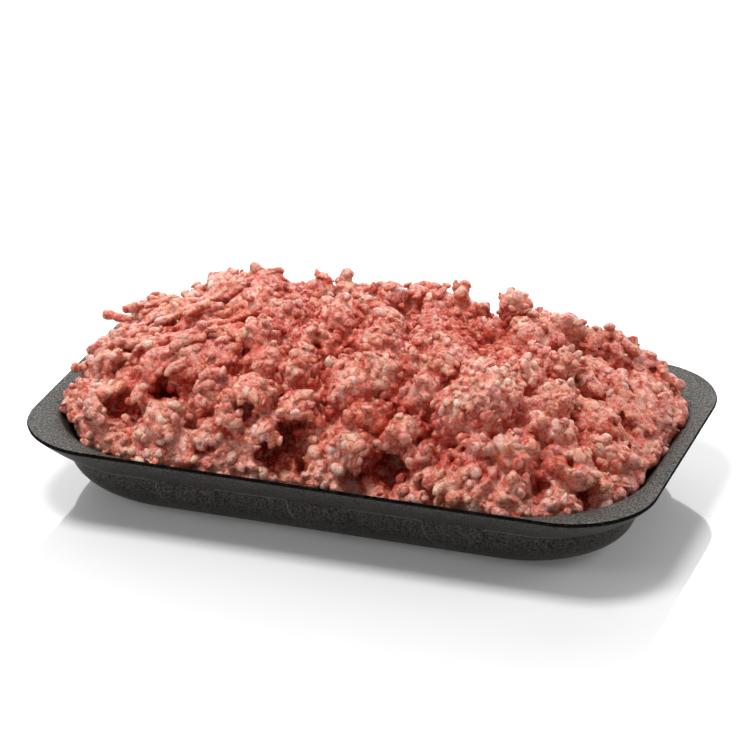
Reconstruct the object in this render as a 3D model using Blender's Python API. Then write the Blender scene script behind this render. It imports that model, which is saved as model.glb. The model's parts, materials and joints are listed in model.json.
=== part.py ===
"""A meat tray pack: a black foam tray heaped with coarse minced meat.

Frame: metres, +Z up, X along the tray. The origin is the centre of the tray's underside, on the
surface that the pack stands on.
"""
import math

import bmesh
import bpy
from mathutils import Vector, noise

MM = 0.001

# Tray: overall size and wall
TRAY_LENGTH = 225 * MM
TRAY_WIDTH = 137 * MM
TRAY_HEIGHT = 27.5 * MM
RIM_RADIUS = 30 * MM
RIM_THICKNESS = 1.3 * MM
WALL_THICKNESS = 3.0 * MM

# Tray: outside, from the rim down the skirt to a small step, then a round lower wall
STEP_DROP = 10.3 * MM
STEP_INSET = 8.3 * MM
STEP_LEDGE = 0.6 * MM
STEP_RADIUS = 31 * MM
BASE_INSET = 26.4 * MM
BASE_RADIUS = 32.5 * MM
LOWER_WALL_RADIUS = 15.9 * MM
LOWER_WALL_ANGLES = (15, 30, 42, 51, 56, 65, 75, 83, 90)

# Tray: inside, from the crest of the flange down to the floor
CREST_INSET_X = 6.0 * MM
CREST_INSET_Y = 1.5 * MM
CREST_DROP = 0.6 * MM
CREST_RADIUS = 46 * MM
SHOULDER_INSET_X = 13.0 * MM
SHOULDER_INSET_Y = 11.0 * MM
SHOULDER_RADIUS = 37 * MM
INNER_RADIUS = LOWER_WALL_RADIUS - WALL_THICKNESS
INNER_ANGLES = (90, 70, 50, 25, 0)

# Tray: shallow raised panels on the lower part of both long walls
PANEL_PITCH = 48 * MM
PANEL_COUNT = 3
PANEL_HALF_WIDTH = 11 * MM
PANEL_CORNER = 8 * MM
PANEL_TOP = 14.5 * MM
PANEL_RISE = 0.7 * MM
PANEL_FLANK = 0.5 * MM
CORNER_STEPS = 10

# Mince: where it meets the tray and how high it is heaped
MINCE_GAP = 0.45 * MM
FOOT_DROP = 4.9 * MM
HEAP_RISE = 43.5 * MM
HEAP_LEAN = 2.9 * MM
HEAP_POWER = 2.06
LENGTH_CELLS = 60
WIDTH_CELLS = 36
BOTTOM_ANGLES = (90, 60, 30, 0)

# Mince: large forms of the heap as (x, y, radius, rise), a negative rise being a hollow
HEAP_FORMS = (
    (-53, 24, 20, 4.5),    # highest crest, left of the middle
    (-42, 27, 11, 2.0),
    (-4, 27, 9, 2.5),
    (20, 27, 15, 3.5),     # long crest right of the middle
    (38, 33, 5, 8.0),      # lone knob on the crest
    (62, 30, 14, 3.5),     # right shoulder
    (100, 40, 24, 5.5),    # low spread at the back right corner
    (101, 0, 34, 2.0),
    (-101, -8, 40, 3.5),   # full left end
    (-92, 12, 12, 2.5),    # left shoulder
    (-101, 25, 5, 9.0),    # stray strand at the left end
    (49, -38, 15, 5.0),    # round lump on the front slope
    (64, -16, 13, 3.0),
    (84, -44, 14, 2.5),
    (-84, -50, 13, 3.5),   # lumps along the front foot
    (-28, -52, 12, 3.0),
    (8, -50, 12, 3.0),
    (-30, -22, 14, 3.0),
    (-22, 30, 14, -5.5),   # saddles between the crests
    (30, 35, 8, -5.0),
    (48, 34, 7, -3.5),
    (-74, 16, 12, -2.0),
    (84, 26, 13, -2.0),
    (-2, -24, 9, -6.0),    # deep gaps between lumps
    (-12, -42, 8, -4.0),
    (-57, -51, 8, -5.0),
    (-71, -56, 8, -4.0),
    (-43, -58, 7, -4.0),
    (-9, -60, 7, -5.0),
    (25, -61, 8, -4.0),
)
LUMP_SIZE = 13 * MM
LUMP_RISE = 7.0 * MM
CRUMB_SIZE = 7.0 * MM
CRUMB_RISE = 2.2 * MM
LUMP_MEAN = 0.25
EDGE_FADE = 0.08
OVERHANG_START = 4 * MM

FOAM_COLOUR = (0.016, 0.017, 0.018, 1.0)
MEAT_COLOUR = (0.52, 0.13, 0.10, 1.0)


def clear_scene():
    """Remove every object that the scene starts with."""
    for item in list(bpy.data.objects):
        bpy.data.objects.remove(item, do_unlink=True)


def make_material(name, colour, roughness):
    """A non-metallic Principled material."""
    material = bpy.data.materials.new(name)
    material.use_nodes = True
    shader = material.node_tree.nodes["Principled BSDF"]
    shader.inputs["Base Color"].default_value = colour
    shader.inputs["Roughness"].default_value = roughness
    shader.inputs["Metallic"].default_value = 0.0
    return material


def add_object(name, mesh_data, material):
    """Turn a bmesh into a named object in the scene."""
    mesh = bpy.data.meshes.new(name)
    mesh_data.to_mesh(mesh)
    mesh_data.free()
    mesh.materials.append(material)
    obj = bpy.data.objects.new(name, mesh)
    bpy.context.scene.collection.objects.link(obj)
    return obj


def bridge(mesh_data, ring_a, ring_b):
    """Join two rings of equal count with quads; ring_b lies on the side the faces grow towards."""
    count = len(ring_a)
    for i in range(count):
        j = (i + 1) % count
        mesh_data.faces.new((ring_a[i], ring_a[j], ring_b[j], ring_b[i]))


# ---------------------------------------------------------------- tray

def panel_half_width(height):
    """Half the width of a wall panel at a height: its lower corners are rounded."""
    below = min(max(PANEL_TOP - height, 0.0), PANEL_CORNER)
    return PANEL_HALF_WIDTH - PANEL_CORNER + math.sqrt(PANEL_CORNER ** 2 - below ** 2)


def panel_stations(height):
    """Places along a long wall as (x, share of the panel's rise), from -X to +X."""
    half = panel_half_width(height)
    stations = []
    for index in range(PANEL_COUNT):
        centre = (index - (PANEL_COUNT - 1) / 2) * PANEL_PITCH
        stations.append((centre - half - PANEL_FLANK, 0.0))
        stations.append((centre - half + PANEL_FLANK, 1.0))
        stations.append((centre, 1.0))
        stations.append((centre + half - PANEL_FLANK, 1.0))
        stations.append((centre + half + PANEL_FLANK, 0.0))
    return stations


def tray_ring(inset_x, inset_y, radius, height, rise=0.0):
    """Points of one level of the tray, anticlockwise from the front wall's left end."""
    half_x = TRAY_LENGTH / 2 - inset_x
    half_y = TRAY_WIDTH / 2 - inset_y
    stations = panel_stations(height)
    points = []
    for quarter in range(4):
        sign_x = 1 if quarter in (0, 1) else -1
        sign_y = 1 if quarter in (1, 2) else -1
        if quarter in (0, 2):
            for x, share in stations:
                points.append((-sign_y * x, sign_y * (half_y + share * rise), height))
        start = math.pi / 2 * (quarter - 1)
        for step in range(CORNER_STEPS + 1):
            angle = start + math.pi / 2 * step / CORNER_STEPS
            x = sign_x * (half_x - radius) + radius * math.cos(angle)
            y = sign_y * (half_y - radius) + radius * math.sin(angle)
            points.append((x, y, height))
    return points


def outer_tray_rings():
    """Levels of the tray's outside, from the flat base up to the rim."""
    rings = [tray_ring(BASE_INSET, BASE_INSET, BASE_RADIUS, 0.0)]
    for degrees in LOWER_WALL_ANGLES:
        angle = math.radians(degrees)
        inset = BASE_INSET - LOWER_WALL_RADIUS * math.sin(angle)
        height = LOWER_WALL_RADIUS * (1 - math.cos(angle))
        radius = BASE_RADIUS + (STEP_RADIUS - BASE_RADIUS) * degrees / 90
        in_panel = height > PANEL_TOP - PANEL_CORNER
        rings.append(tray_ring(inset, inset, radius, height, PANEL_RISE if in_panel else 0.0))
    step_height = TRAY_HEIGHT - STEP_DROP
    rings.append(tray_ring(STEP_INSET + STEP_LEDGE, STEP_INSET + STEP_LEDGE, STEP_RADIUS,
                           step_height - STEP_LEDGE, PANEL_RISE))
    rings.append(tray_ring(STEP_INSET, STEP_INSET, STEP_RADIUS, step_height))
    rings.append(tray_ring(0.0, 0.0, RIM_RADIUS, TRAY_HEIGHT - RIM_THICKNESS))
    rings.append(tray_ring(0.0, 0.0, RIM_RADIUS, TRAY_HEIGHT))
    return rings


def inner_wall_levels(gap=0.0):
    """Levels of the tray's inside below the flange, as (inset x, inset y, radius, height)."""
    levels = [(SHOULDER_INSET_X + gap, SHOULDER_INSET_Y + gap, SHOULDER_RADIUS - gap,
               TRAY_HEIGHT - STEP_DROP)]
    angles = INNER_ANGLES if gap == 0.0 else BOTTOM_ANGLES
    arc_radius = INNER_RADIUS - gap
    for degrees in angles:
        angle = math.radians(degrees)
        inset = BASE_INSET - arc_radius * math.sin(angle)
        height = LOWER_WALL_RADIUS - arc_radius * math.cos(angle)
        levels.append((inset, inset, BASE_RADIUS - gap, height))
    return levels


def build_tray(material):
    """The foam tray: one closed shell with a thin rim, a flange and a rounded well."""
    rings = outer_tray_rings()
    rings.append(tray_ring(CREST_INSET_X, CREST_INSET_Y, CREST_RADIUS, TRAY_HEIGHT - CREST_DROP))
    for inset_x, inset_y, radius, height in inner_wall_levels():
        rings.append(tray_ring(inset_x, inset_y, radius, height))
    shell = bmesh.new()
    loops = [[shell.verts.new(point) for point in ring] for ring in rings]
    for lower, upper in zip(loops, loops[1:]):
        bridge(shell, lower, upper)
    shell.faces.new(reversed(loops[0]))
    shell.faces.new(loops[-1])
    return add_object("tray", shell, material)


# ---------------------------------------------------------------- mince

def half_side(half_x, half_y, radius, share):
    """A point on a rounded rectangle, from the middle of the front-left corner (share 0) along
    the front to the middle of the front-right corner (share 1)."""
    straight = half_x - radius
    arc = radius * math.pi / 4
    distance = (2 * share - 1) * (straight + arc)
    along = min(abs(distance), straight)
    angle = (abs(distance) - along) / radius
    x = math.copysign(along + radius * math.sin(angle), distance)
    return x, -(half_y - radius) - radius * math.cos(angle)


def outline(inset_x, inset_y, radius):
    """Plan of a mince level, with one point for each boundary vertex of the heap's grid."""
    half_x = TRAY_LENGTH / 2 - inset_x
    half_y = TRAY_WIDTH / 2 - inset_y
    points = []
    for side in range(4):
        cells = LENGTH_CELLS if side % 2 == 0 else WIDTH_CELLS
        for step in range(cells):
            if side % 2 == 0:
                x, y = half_side(half_x, half_y, radius, step / cells)
            else:
                y, x = half_side(half_y, half_x, radius, step / cells)
                x = -x
            sign = 1 if side < 2 else -1
            points.append((sign * x, sign * y))
    return points


def wall_level(height):
    """Plan of the room between the tray's upper walls, as (half x, half y, radius)."""
    drop = TRAY_HEIGHT - height - CREST_DROP
    share = max(drop / (STEP_DROP - CREST_DROP), 0.0)
    inset_x = CREST_INSET_X + share * (SHOULDER_INSET_X - CREST_INSET_X) + MINCE_GAP
    inset_y = CREST_INSET_Y + share * (SHOULDER_INSET_Y - CREST_INSET_Y) + MINCE_GAP
    radius = CREST_RADIUS + share * (SHOULDER_RADIUS - CREST_RADIUS) - MINCE_GAP
    return TRAY_LENGTH / 2 - inset_x, TRAY_WIDTH / 2 - inset_y, radius


def clear_of_wall(point):
    """The point, moved in where it would reach into the tray's wall or lie low on its flange."""
    if point.z > TRAY_HEIGHT + OVERHANG_START:
        return point
    half_x, half_y, radius = wall_level(point.z)
    core_x = half_x - radius
    core_y = half_y - radius
    out_x = max(abs(point.x) - core_x, 0.0)
    out_y = max(abs(point.y) - core_y, 0.0)
    out = math.hypot(out_x, out_y)
    if out <= radius:
        return point
    x = math.copysign(min(abs(point.x), core_x) + out_x * radius / out, point.x)
    y = math.copysign(min(abs(point.y), core_y) + out_y * radius / out, point.y)
    return Vector((x, y, point.z))


def grid_boundary():
    """Cells around the edge of the heap's grid, in the order of outline()."""
    cells = []
    for step in range(LENGTH_CELLS):
        cells.append((step, 0))
    for step in range(WIDTH_CELLS):
        cells.append((LENGTH_CELLS, step))
    for step in range(LENGTH_CELLS):
        cells.append((LENGTH_CELLS - step, WIDTH_CELLS))
    for step in range(WIDTH_CELLS):
        cells.append((0, WIDTH_CELLS - step))
    return cells


class Heap:
    """The heap's surface: a smooth dome over the foot outline, and the forms raised on it."""

    def __init__(self):
        self.foot = TRAY_HEIGHT - FOOT_DROP
        self.half_x, self.half_y, self.radius = wall_level(self.foot)
        self.forms = []
        for x, y, size, rise in HEAP_FORMS:
            self.forms.append((self.dome(x * MM, y * MM), size * MM, rise * MM))

    def edge_point(self, u, v):
        """Plan point where the ray through (u, v) of the unit square meets the foot outline."""
        if abs(v) >= abs(u):
            x, y = half_side(self.half_x, self.half_y, self.radius, (u / abs(v) + 1) / 2)
            return x, math.copysign(y, v)
        y, x = half_side(self.half_y, self.half_x, self.radius, (v / abs(u) + 1) / 2)
        return math.copysign(x, u), y

    def reach(self, x, y):
        """How far out a plan point lies: 0 in the middle, 1 on the foot outline."""
        low, high = 0.0, 2.0
        for _ in range(30):
            middle = (low + high) / 2
            core_x = self.half_x * middle - self.radius * middle
            core_y = self.half_y * middle - self.radius * middle
            over = math.hypot(max(abs(x) - core_x, 0.0), max(abs(y) - core_y, 0.0))
            if over > self.radius * middle:
                low = middle
            else:
                high = middle
        return high

    def height(self, x, reach):
        """Height of the smooth dome."""
        rise = HEAP_RISE - HEAP_LEAN * x / self.half_x
        return self.foot + rise * max(1 - reach ** HEAP_POWER, 0.0) ** (1 / HEAP_POWER)

    def dome(self, x, y):
        """Point of the smooth dome above a plan point."""
        return Vector((x, y, self.height(x, self.reach(x, y))))

    def grid_point(self, u, v):
        """Point of the smooth dome at (u, v) of the unit square."""
        edge = max(abs(u), abs(v))
        if edge == 0.0:
            return Vector((0.0, 0.0, self.height(0.0, 0.0)))
        reach = math.sin(edge * math.pi / 2)
        x, y = self.edge_point(u, v)
        return Vector((x * reach, y * reach, self.height(x * reach, reach)))

    def relief(self, point):
        """Rise of the heap's surface above the dome: large forms, lumps and crumbs."""
        rise = 0.0
        for centre, size, height in self.forms:
            near = 1 - (point - centre).length_squared / size ** 2
            if near > 0:
                rise += height * near * near * (3 - 2 * near)
        for size, height in ((LUMP_SIZE, LUMP_RISE), (CRUMB_SIZE, CRUMB_RISE)):
            distances, _ = noise.voronoi(point / size)
            rise += height * (LUMP_MEAN - distances[0] ** 2)
        return rise

    def surface_point(self, u, v):
        """Point of the heap's surface: the dome raised along its normal, fading at the foot."""
        here = self.grid_point(u, v)
        step = 0.01
        inward_u = -step if u > 0 else step
        inward_v = -step if v > 0 else step
        along = (self.grid_point(u + inward_u, v) - here) * (1 if inward_u > 0 else -1)
        across = (self.grid_point(u, v + inward_v) - here) * (1 if inward_v > 0 else -1)
        normal = along.cross(across).normalized()
        fade = min((1 - max(abs(u), abs(v))) / EDGE_FADE, 1.0)
        return clear_of_wall(here + normal * self.relief(here) * fade)


def build_mince(material):
    """The mince: one solid that fills the well and is heaped above it to its uneven surface."""
    heap = Heap()
    solid = bmesh.new()
    grid = {}
    for column in range(LENGTH_CELLS + 1):
        for row in range(WIDTH_CELLS + 1):
            u = 2 * column / LENGTH_CELLS - 1
            v = 2 * row / WIDTH_CELLS - 1
            grid[column, row] = solid.verts.new(heap.surface_point(u, v))
    for column in range(LENGTH_CELLS):
        for row in range(WIDTH_CELLS):
            solid.faces.new((grid[column, row], grid[column + 1, row],
                             grid[column + 1, row + 1], grid[column, row + 1]))
    upper = [grid[cell] for cell in grid_boundary()]
    for inset_x, inset_y, radius, height in inner_wall_levels(MINCE_GAP):
        lower = [solid.verts.new((x, y, height)) for x, y in outline(inset_x, inset_y, radius)]
        bridge(solid, lower, upper)
        upper = lower
    solid.faces.new(reversed(upper))
    return add_object("mince", solid, material)


def main():
    """Build the pack."""
    clear_scene()
    build_tray(make_material("black_foam", FOAM_COLOUR, 0.55))
    build_mince(make_material("minced_meat", MEAT_COLOUR, 0.42))


main()
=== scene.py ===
"""The looks of a meat tray pack: a black foam tray heaped with coarse minced meat.

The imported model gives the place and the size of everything. The tray is modelled again as one
moulded foam shell with fine wall panels. The heap becomes a core of clumps with crumbs sunk in
its surface, and loose strands, crumbs and bits of lean meat and fat lie on the core.
"""

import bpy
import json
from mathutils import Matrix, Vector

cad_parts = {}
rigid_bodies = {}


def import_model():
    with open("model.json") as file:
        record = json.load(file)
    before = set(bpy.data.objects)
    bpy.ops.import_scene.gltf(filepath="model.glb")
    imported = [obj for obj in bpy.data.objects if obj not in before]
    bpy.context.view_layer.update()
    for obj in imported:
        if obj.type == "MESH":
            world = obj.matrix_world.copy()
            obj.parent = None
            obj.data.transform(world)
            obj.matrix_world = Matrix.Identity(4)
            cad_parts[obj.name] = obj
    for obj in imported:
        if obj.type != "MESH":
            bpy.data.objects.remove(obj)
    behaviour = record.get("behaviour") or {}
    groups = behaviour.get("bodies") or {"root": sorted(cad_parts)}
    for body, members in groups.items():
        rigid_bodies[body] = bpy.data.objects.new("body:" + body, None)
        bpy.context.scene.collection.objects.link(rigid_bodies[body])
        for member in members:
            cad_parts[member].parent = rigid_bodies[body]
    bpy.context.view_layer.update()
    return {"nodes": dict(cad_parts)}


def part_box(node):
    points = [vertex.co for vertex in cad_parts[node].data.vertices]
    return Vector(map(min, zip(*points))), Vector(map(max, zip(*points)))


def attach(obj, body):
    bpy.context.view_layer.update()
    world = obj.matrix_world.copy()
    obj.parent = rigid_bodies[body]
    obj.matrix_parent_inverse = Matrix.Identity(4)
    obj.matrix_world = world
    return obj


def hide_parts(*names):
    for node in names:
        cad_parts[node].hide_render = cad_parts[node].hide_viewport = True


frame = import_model()

import json
import logging
import math
from collections.abc import Iterator, Sequence
from contextlib import contextmanager
from dataclasses import astuple, dataclass, field
from enum import Enum

import bmesh
import bpy
import numpy as np
from mathutils import Vector
from mathutils.bvhtree import BVHTree
from mathutils.kdtree import KDTree

LOG = logging.getLogger("meat_tray_pack")
MM = 0.001
BODY = "root"
Colour = tuple[float, float, float, float]


class Kind(Enum):
    """What a loose piece of mince is."""

    STRAND = "strand"
    LEAN = "lean"
    PINK = "pink"
    FAT = "fat"
    BIT = "bit"


# ---------------------------------------------------------------- modelling helpers

def deselect_everything() -> None:
    """Leave no object selected."""
    for item in bpy.context.view_layer.objects:
        item.select_set(False)


def make_active(piece: bpy.types.Object) -> None:
    """Select one object alone and make it the active one."""
    deselect_everything()
    piece.select_set(True)
    bpy.context.view_layer.objects.active = piece


@contextmanager
def editing(piece: bpy.types.Object) -> Iterator[None]:
    """Hold an object in edit mode.

    Args:
        piece: The mesh object to edit.
    """
    make_active(piece)
    bpy.ops.object.mode_set(mode="EDIT")
    try:
        yield
    finally:
        bpy.ops.object.mode_set(mode="OBJECT")


def apply_modifier(piece: bpy.types.Object, kind: str, **settings: float | str | bool) -> None:
    """Add a modifier to an object and apply it at once.

    Args:
        piece: The mesh object to change.
        kind: The modifier's type.
        settings: Values for the modifier's own properties.
    """
    make_active(piece)
    modifier = piece.modifiers.new(kind.lower(), kind)
    for name, value in settings.items():
        setattr(modifier, name, value)
    bpy.ops.object.modifier_apply(modifier=modifier.name)


def mesh_arrays(mesh: bpy.types.Mesh) -> tuple[np.ndarray, np.ndarray]:
    """Read a mesh's vertices and their normals.

    Args:
        mesh: The mesh to read.

    Returns:
        Two arrays of one row for each vertex: places and unit normals.
    """
    count = len(mesh.vertices)
    places = np.empty(count * 3, np.float32)
    normals = np.empty(count * 3, np.float32)
    mesh.vertices.foreach_get("co", places)
    mesh.vertex_normals.foreach_get("vector", normals)
    return places.reshape(-1, 3).astype(float), normals.reshape(-1, 3).astype(float)


def smooth_waves(points: np.ndarray, size: float, seed: int, waves: int = 7) -> np.ndarray:
    """A soft random field: a sum of sine waves that run in random directions.

    Args:
        points: Places to read the field at, one row each.
        size: Wavelength of the field.
        seed: Seed of the field.
        waves: How many waves are summed.

    Returns:
        One value for each point, about -1 to 1.
    """
    rng = np.random.default_rng(seed)
    directions = rng.normal(size=(waves, 3))
    directions /= np.linalg.norm(directions, axis=1, keepdims=True)
    numbers = 2 * np.pi / (size * rng.uniform(0.7, 1.4, waves))
    phases = rng.uniform(0, 2 * np.pi, waves)
    return np.sin(points @ (directions * numbers[:, None]).T + phases).sum(1) / math.sqrt(waves / 2) / 2


def spaced_choice(points: np.ndarray, radii: np.ndarray, rng: np.random.Generator,
                  largest_first: bool = False) -> list[int]:
    """Choose points so that balls of their radii set on them don't overlap.

    Args:
        points: Places to choose from, one row each.
        radii: Radius of the ball on each place.
        rng: Source of the random order.
        largest_first: Whether the largest balls choose before the small ones.

    Returns:
        Indices of the chosen points.
    """
    cell = 2 * float(radii.max())
    cells = np.floor(points / cell).astype(int).tolist()
    rows = points.tolist()
    sizes = radii.tolist()
    filled: dict[tuple[int, int, int], list[tuple[float, float, float, float]]] = {}
    offsets = [(i, j, k) for i in (-1, 0, 1) for j in (-1, 0, 1) for k in (-1, 0, 1)]
    order = rng.permutation(len(points))
    if largest_first:
        order = order[np.argsort(-radii[order], kind="stable")]
    chosen = []
    for index in order.tolist():
        x, y, z = rows[index]
        i, j, k = cells[index]
        size = sizes[index]
        clear = True
        for di, dj, dk in offsets:
            for ball in filled.get((i + di, j + dj, k + dk), ()):
                gap = (ball[0] - x) ** 2 + (ball[1] - y) ** 2 + (ball[2] - z) ** 2
                if gap < (ball[3] + size) ** 2:
                    clear = False
                    break
            if not clear:
                break
        if clear:
            filled.setdefault((i, j, k), []).append((x, y, z, size))
            chosen.append(index)
    return chosen


# ---------------------------------------------------------------- finishes

class NodeBoard:
    """A new material's node tree, with short ways to add and join its nodes."""

    def __init__(self, name: str) -> None:
        """Start a material with an empty Principled shader.

        Args:
            name: The material's name.
        """
        self.material = bpy.data.materials.new(name)
        self.material.use_nodes = True
        self.tree = self.material.node_tree
        self.shader = self.tree.nodes["Principled BSDF"]
        self.place = self.tree.nodes.new("ShaderNodeTexCoord").outputs["Object"]

    def node(self, kind: str, **values: object) -> bpy.types.Node:
        """Add a node and set its properties.

        Args:
            kind: The node's type, without the leading "ShaderNode".
            values: Properties of the node.

        Returns:
            The new node.
        """
        node = self.tree.nodes.new("ShaderNode" + kind)
        for name, value in values.items():
            setattr(node, name, value)
        return node

    def feed(self, target: bpy.types.NodeSocket, source: object) -> None:
        """Give a socket a value, or link another node's output to it.

        Args:
            target: The input socket.
            source: An output socket, a number or a colour.
        """
        if isinstance(source, bpy.types.NodeSocket):
            self.tree.links.new(source, target)
        else:
            target.default_value = source

    def noise(self, scale: float, detail: float = 2.0, roughness: float = 0.5) -> bpy.types.NodeSocket:
        """Noise on object coordinates.

        Args:
            scale: Number of features to the metre.
            detail: Octaves of finer noise.
            roughness: Share of the finer noise.

        Returns:
            The noise value's socket.
        """
        node = self.node("TexNoise")
        self.feed(node.inputs["Vector"], self.place)
        node.inputs["Scale"].default_value = scale
        node.inputs["Detail"].default_value = detail
        node.inputs["Roughness"].default_value = roughness
        return node.outputs["Fac"]

    def pebbles(self, scale: float, warp: float) -> bpy.types.NodeSocket:
        """Distance to the middle of the nearest of many small uneven cells.

        Args:
            scale: Number of cells to the metre.
            warp: How far the cells are bent, in metres.

        Returns:
            The distance's socket, 0 in the middle of a cell and about 0.7 at its edge.
        """
        bend = self.node("TexNoise")
        self.feed(bend.inputs["Vector"], self.place)
        bend.inputs["Scale"].default_value = scale * 0.8
        bend.inputs["Detail"].default_value = 2.0
        shift = self.node("VectorMath", operation="MULTIPLY_ADD")
        self.feed(shift.inputs[0], bend.outputs["Color"])
        shift.inputs[1].default_value = (warp, warp, warp)
        self.feed(shift.inputs[2], self.place)
        cells = self.node("TexVoronoi")
        self.feed(cells.inputs["Vector"], shift.outputs["Vector"])
        cells.inputs["Scale"].default_value = scale
        return cells.outputs["Distance"]

    def math(self, operation: str, *sources: object) -> bpy.types.NodeSocket:
        """A sum on numbers.

        Args:
            operation: The Math node's operation.
            sources: One to three numbers or sockets.

        Returns:
            The result's socket.
        """
        node = self.node("Math", operation=operation)
        for target, source in zip(node.inputs, sources):
            self.feed(target, source)
        return node.outputs[0]

    def ramp(self, source: bpy.types.NodeSocket, stops: Sequence[tuple[float, Colour]]) -> bpy.types.NodeSocket:
        """Colours along a value.

        Args:
            source: The value's socket.
            stops: Positions and their colours, in order.

        Returns:
            The colour's socket.
        """
        node = self.node("ValToRGB")
        ends = node.color_ramp.elements
        while len(ends) < len(stops):
            ends.new(0.5)
        for end, (position, colour) in zip(ends, stops):
            end.position = position
            end.color = colour
        self.feed(node.inputs["Fac"], source)
        return node.outputs["Color"]

    def mix(self, share: object, first: object, second: object) -> bpy.types.NodeSocket:
        """A mix of two colours.

        Args:
            share: How much of the second colour there is.
            first: A colour or its socket.
            second: A colour or its socket.

        Returns:
            The mixed colour's socket.
        """
        node = self.node("Mix", data_type="RGBA")
        self.feed(node.inputs["Factor"], share)
        self.feed(node.inputs["A"], first)
        self.feed(node.inputs["B"], second)
        return node.outputs["Result"]

    def multiply(self, first: bpy.types.NodeSocket, second: bpy.types.NodeSocket) -> bpy.types.NodeSocket:
        """The product of two colours."""
        node = self.node("Mix", data_type="RGBA", blend_type="MULTIPLY")
        self.feed(node.inputs["Factor"], 1.0)
        self.feed(node.inputs["A"], first)
        self.feed(node.inputs["B"], second)
        return node.outputs["Result"]

    def map_range(self, source: object, low: float, high: float, to_low: float = 0.0,
                  to_high: float = 1.0) -> bpy.types.NodeSocket:
        """A value taken from one range to another, and kept inside it.

        Args:
            source: The value or its socket.
            low: Value that becomes to_low.
            high: Value that becomes to_high.
            to_low: Lowest result.
            to_high: Highest result.

        Returns:
            The result's socket.
        """
        node = self.node("MapRange")
        self.feed(node.inputs["Value"], source)
        node.inputs["From Min"].default_value = low
        node.inputs["From Max"].default_value = high
        node.inputs["To Min"].default_value = to_low
        node.inputs["To Max"].default_value = to_high
        return node.outputs["Result"]

    def bump(self, height: bpy.types.NodeSocket, distance: float, strength: float,
             below: bpy.types.NodeSocket | None = None) -> bpy.types.NodeSocket:
        """A bump on the surface.

        Args:
            height: The height's socket.
            distance: Depth of the relief in metres.
            strength: Share of the relief that shows.
            below: A coarser bump to add this one to.

        Returns:
            The normal's socket.
        """
        node = self.node("Bump")
        node.inputs["Strength"].default_value = strength
        node.inputs["Distance"].default_value = distance
        self.feed(node.inputs["Height"], height)
        if below is not None:
            self.feed(node.inputs["Normal"], below)
        return node.outputs["Normal"]


@dataclass(frozen=True)
class FoamFinish:
    """Black expanded foam with a satin skin and a fine speckle of cells."""

    name: str = "black_foam"
    dark: Colour = (0.011, 0.010, 0.008, 1.0)
    middle: Colour = (0.027, 0.024, 0.0195, 1.0)
    light: Colour = (0.075, 0.068, 0.057, 1.0)
    cell_scale: float = 1350.0
    cell_depth: float = 0.25 * MM
    roughness_low: float = 0.34
    roughness_high: float = 0.62
    sheen: float = 0.28

    def material(self) -> bpy.types.Material:
        """Make the foam's material."""
        board = NodeBoard(self.name)
        speckle = board.noise(self.cell_scale, 2.0, 0.6)
        patches = board.noise(90.0, 3.0, 0.5)
        tone = board.math("ADD", board.math("MULTIPLY", speckle, 0.94), board.math("MULTIPLY", patches, 0.06))
        board.feed(board.shader.inputs["Base Color"],
                   board.ramp(tone, ((0.33, self.dark), (0.52, self.middle), (0.80, self.light))))
        board.feed(board.shader.inputs["Roughness"],
                   board.map_range(speckle, 0.35, 0.65, self.roughness_low, self.roughness_high))
        board.shader.inputs["Specular IOR Level"].default_value = self.sheen
        board.feed(board.shader.inputs["Specular IOR Level"],
                   board.map_range(speckle, 0.38, 0.62, 0.2 * self.sheen, 1.8 * self.sheen))
        waves = board.bump(board.noise(160.0, 2.0, 0.5), 0.5 * MM, 0.1)
        board.feed(board.shader.inputs["Normal"], board.bump(speckle, self.cell_depth, 1.0, waves))
        return board.material


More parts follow.
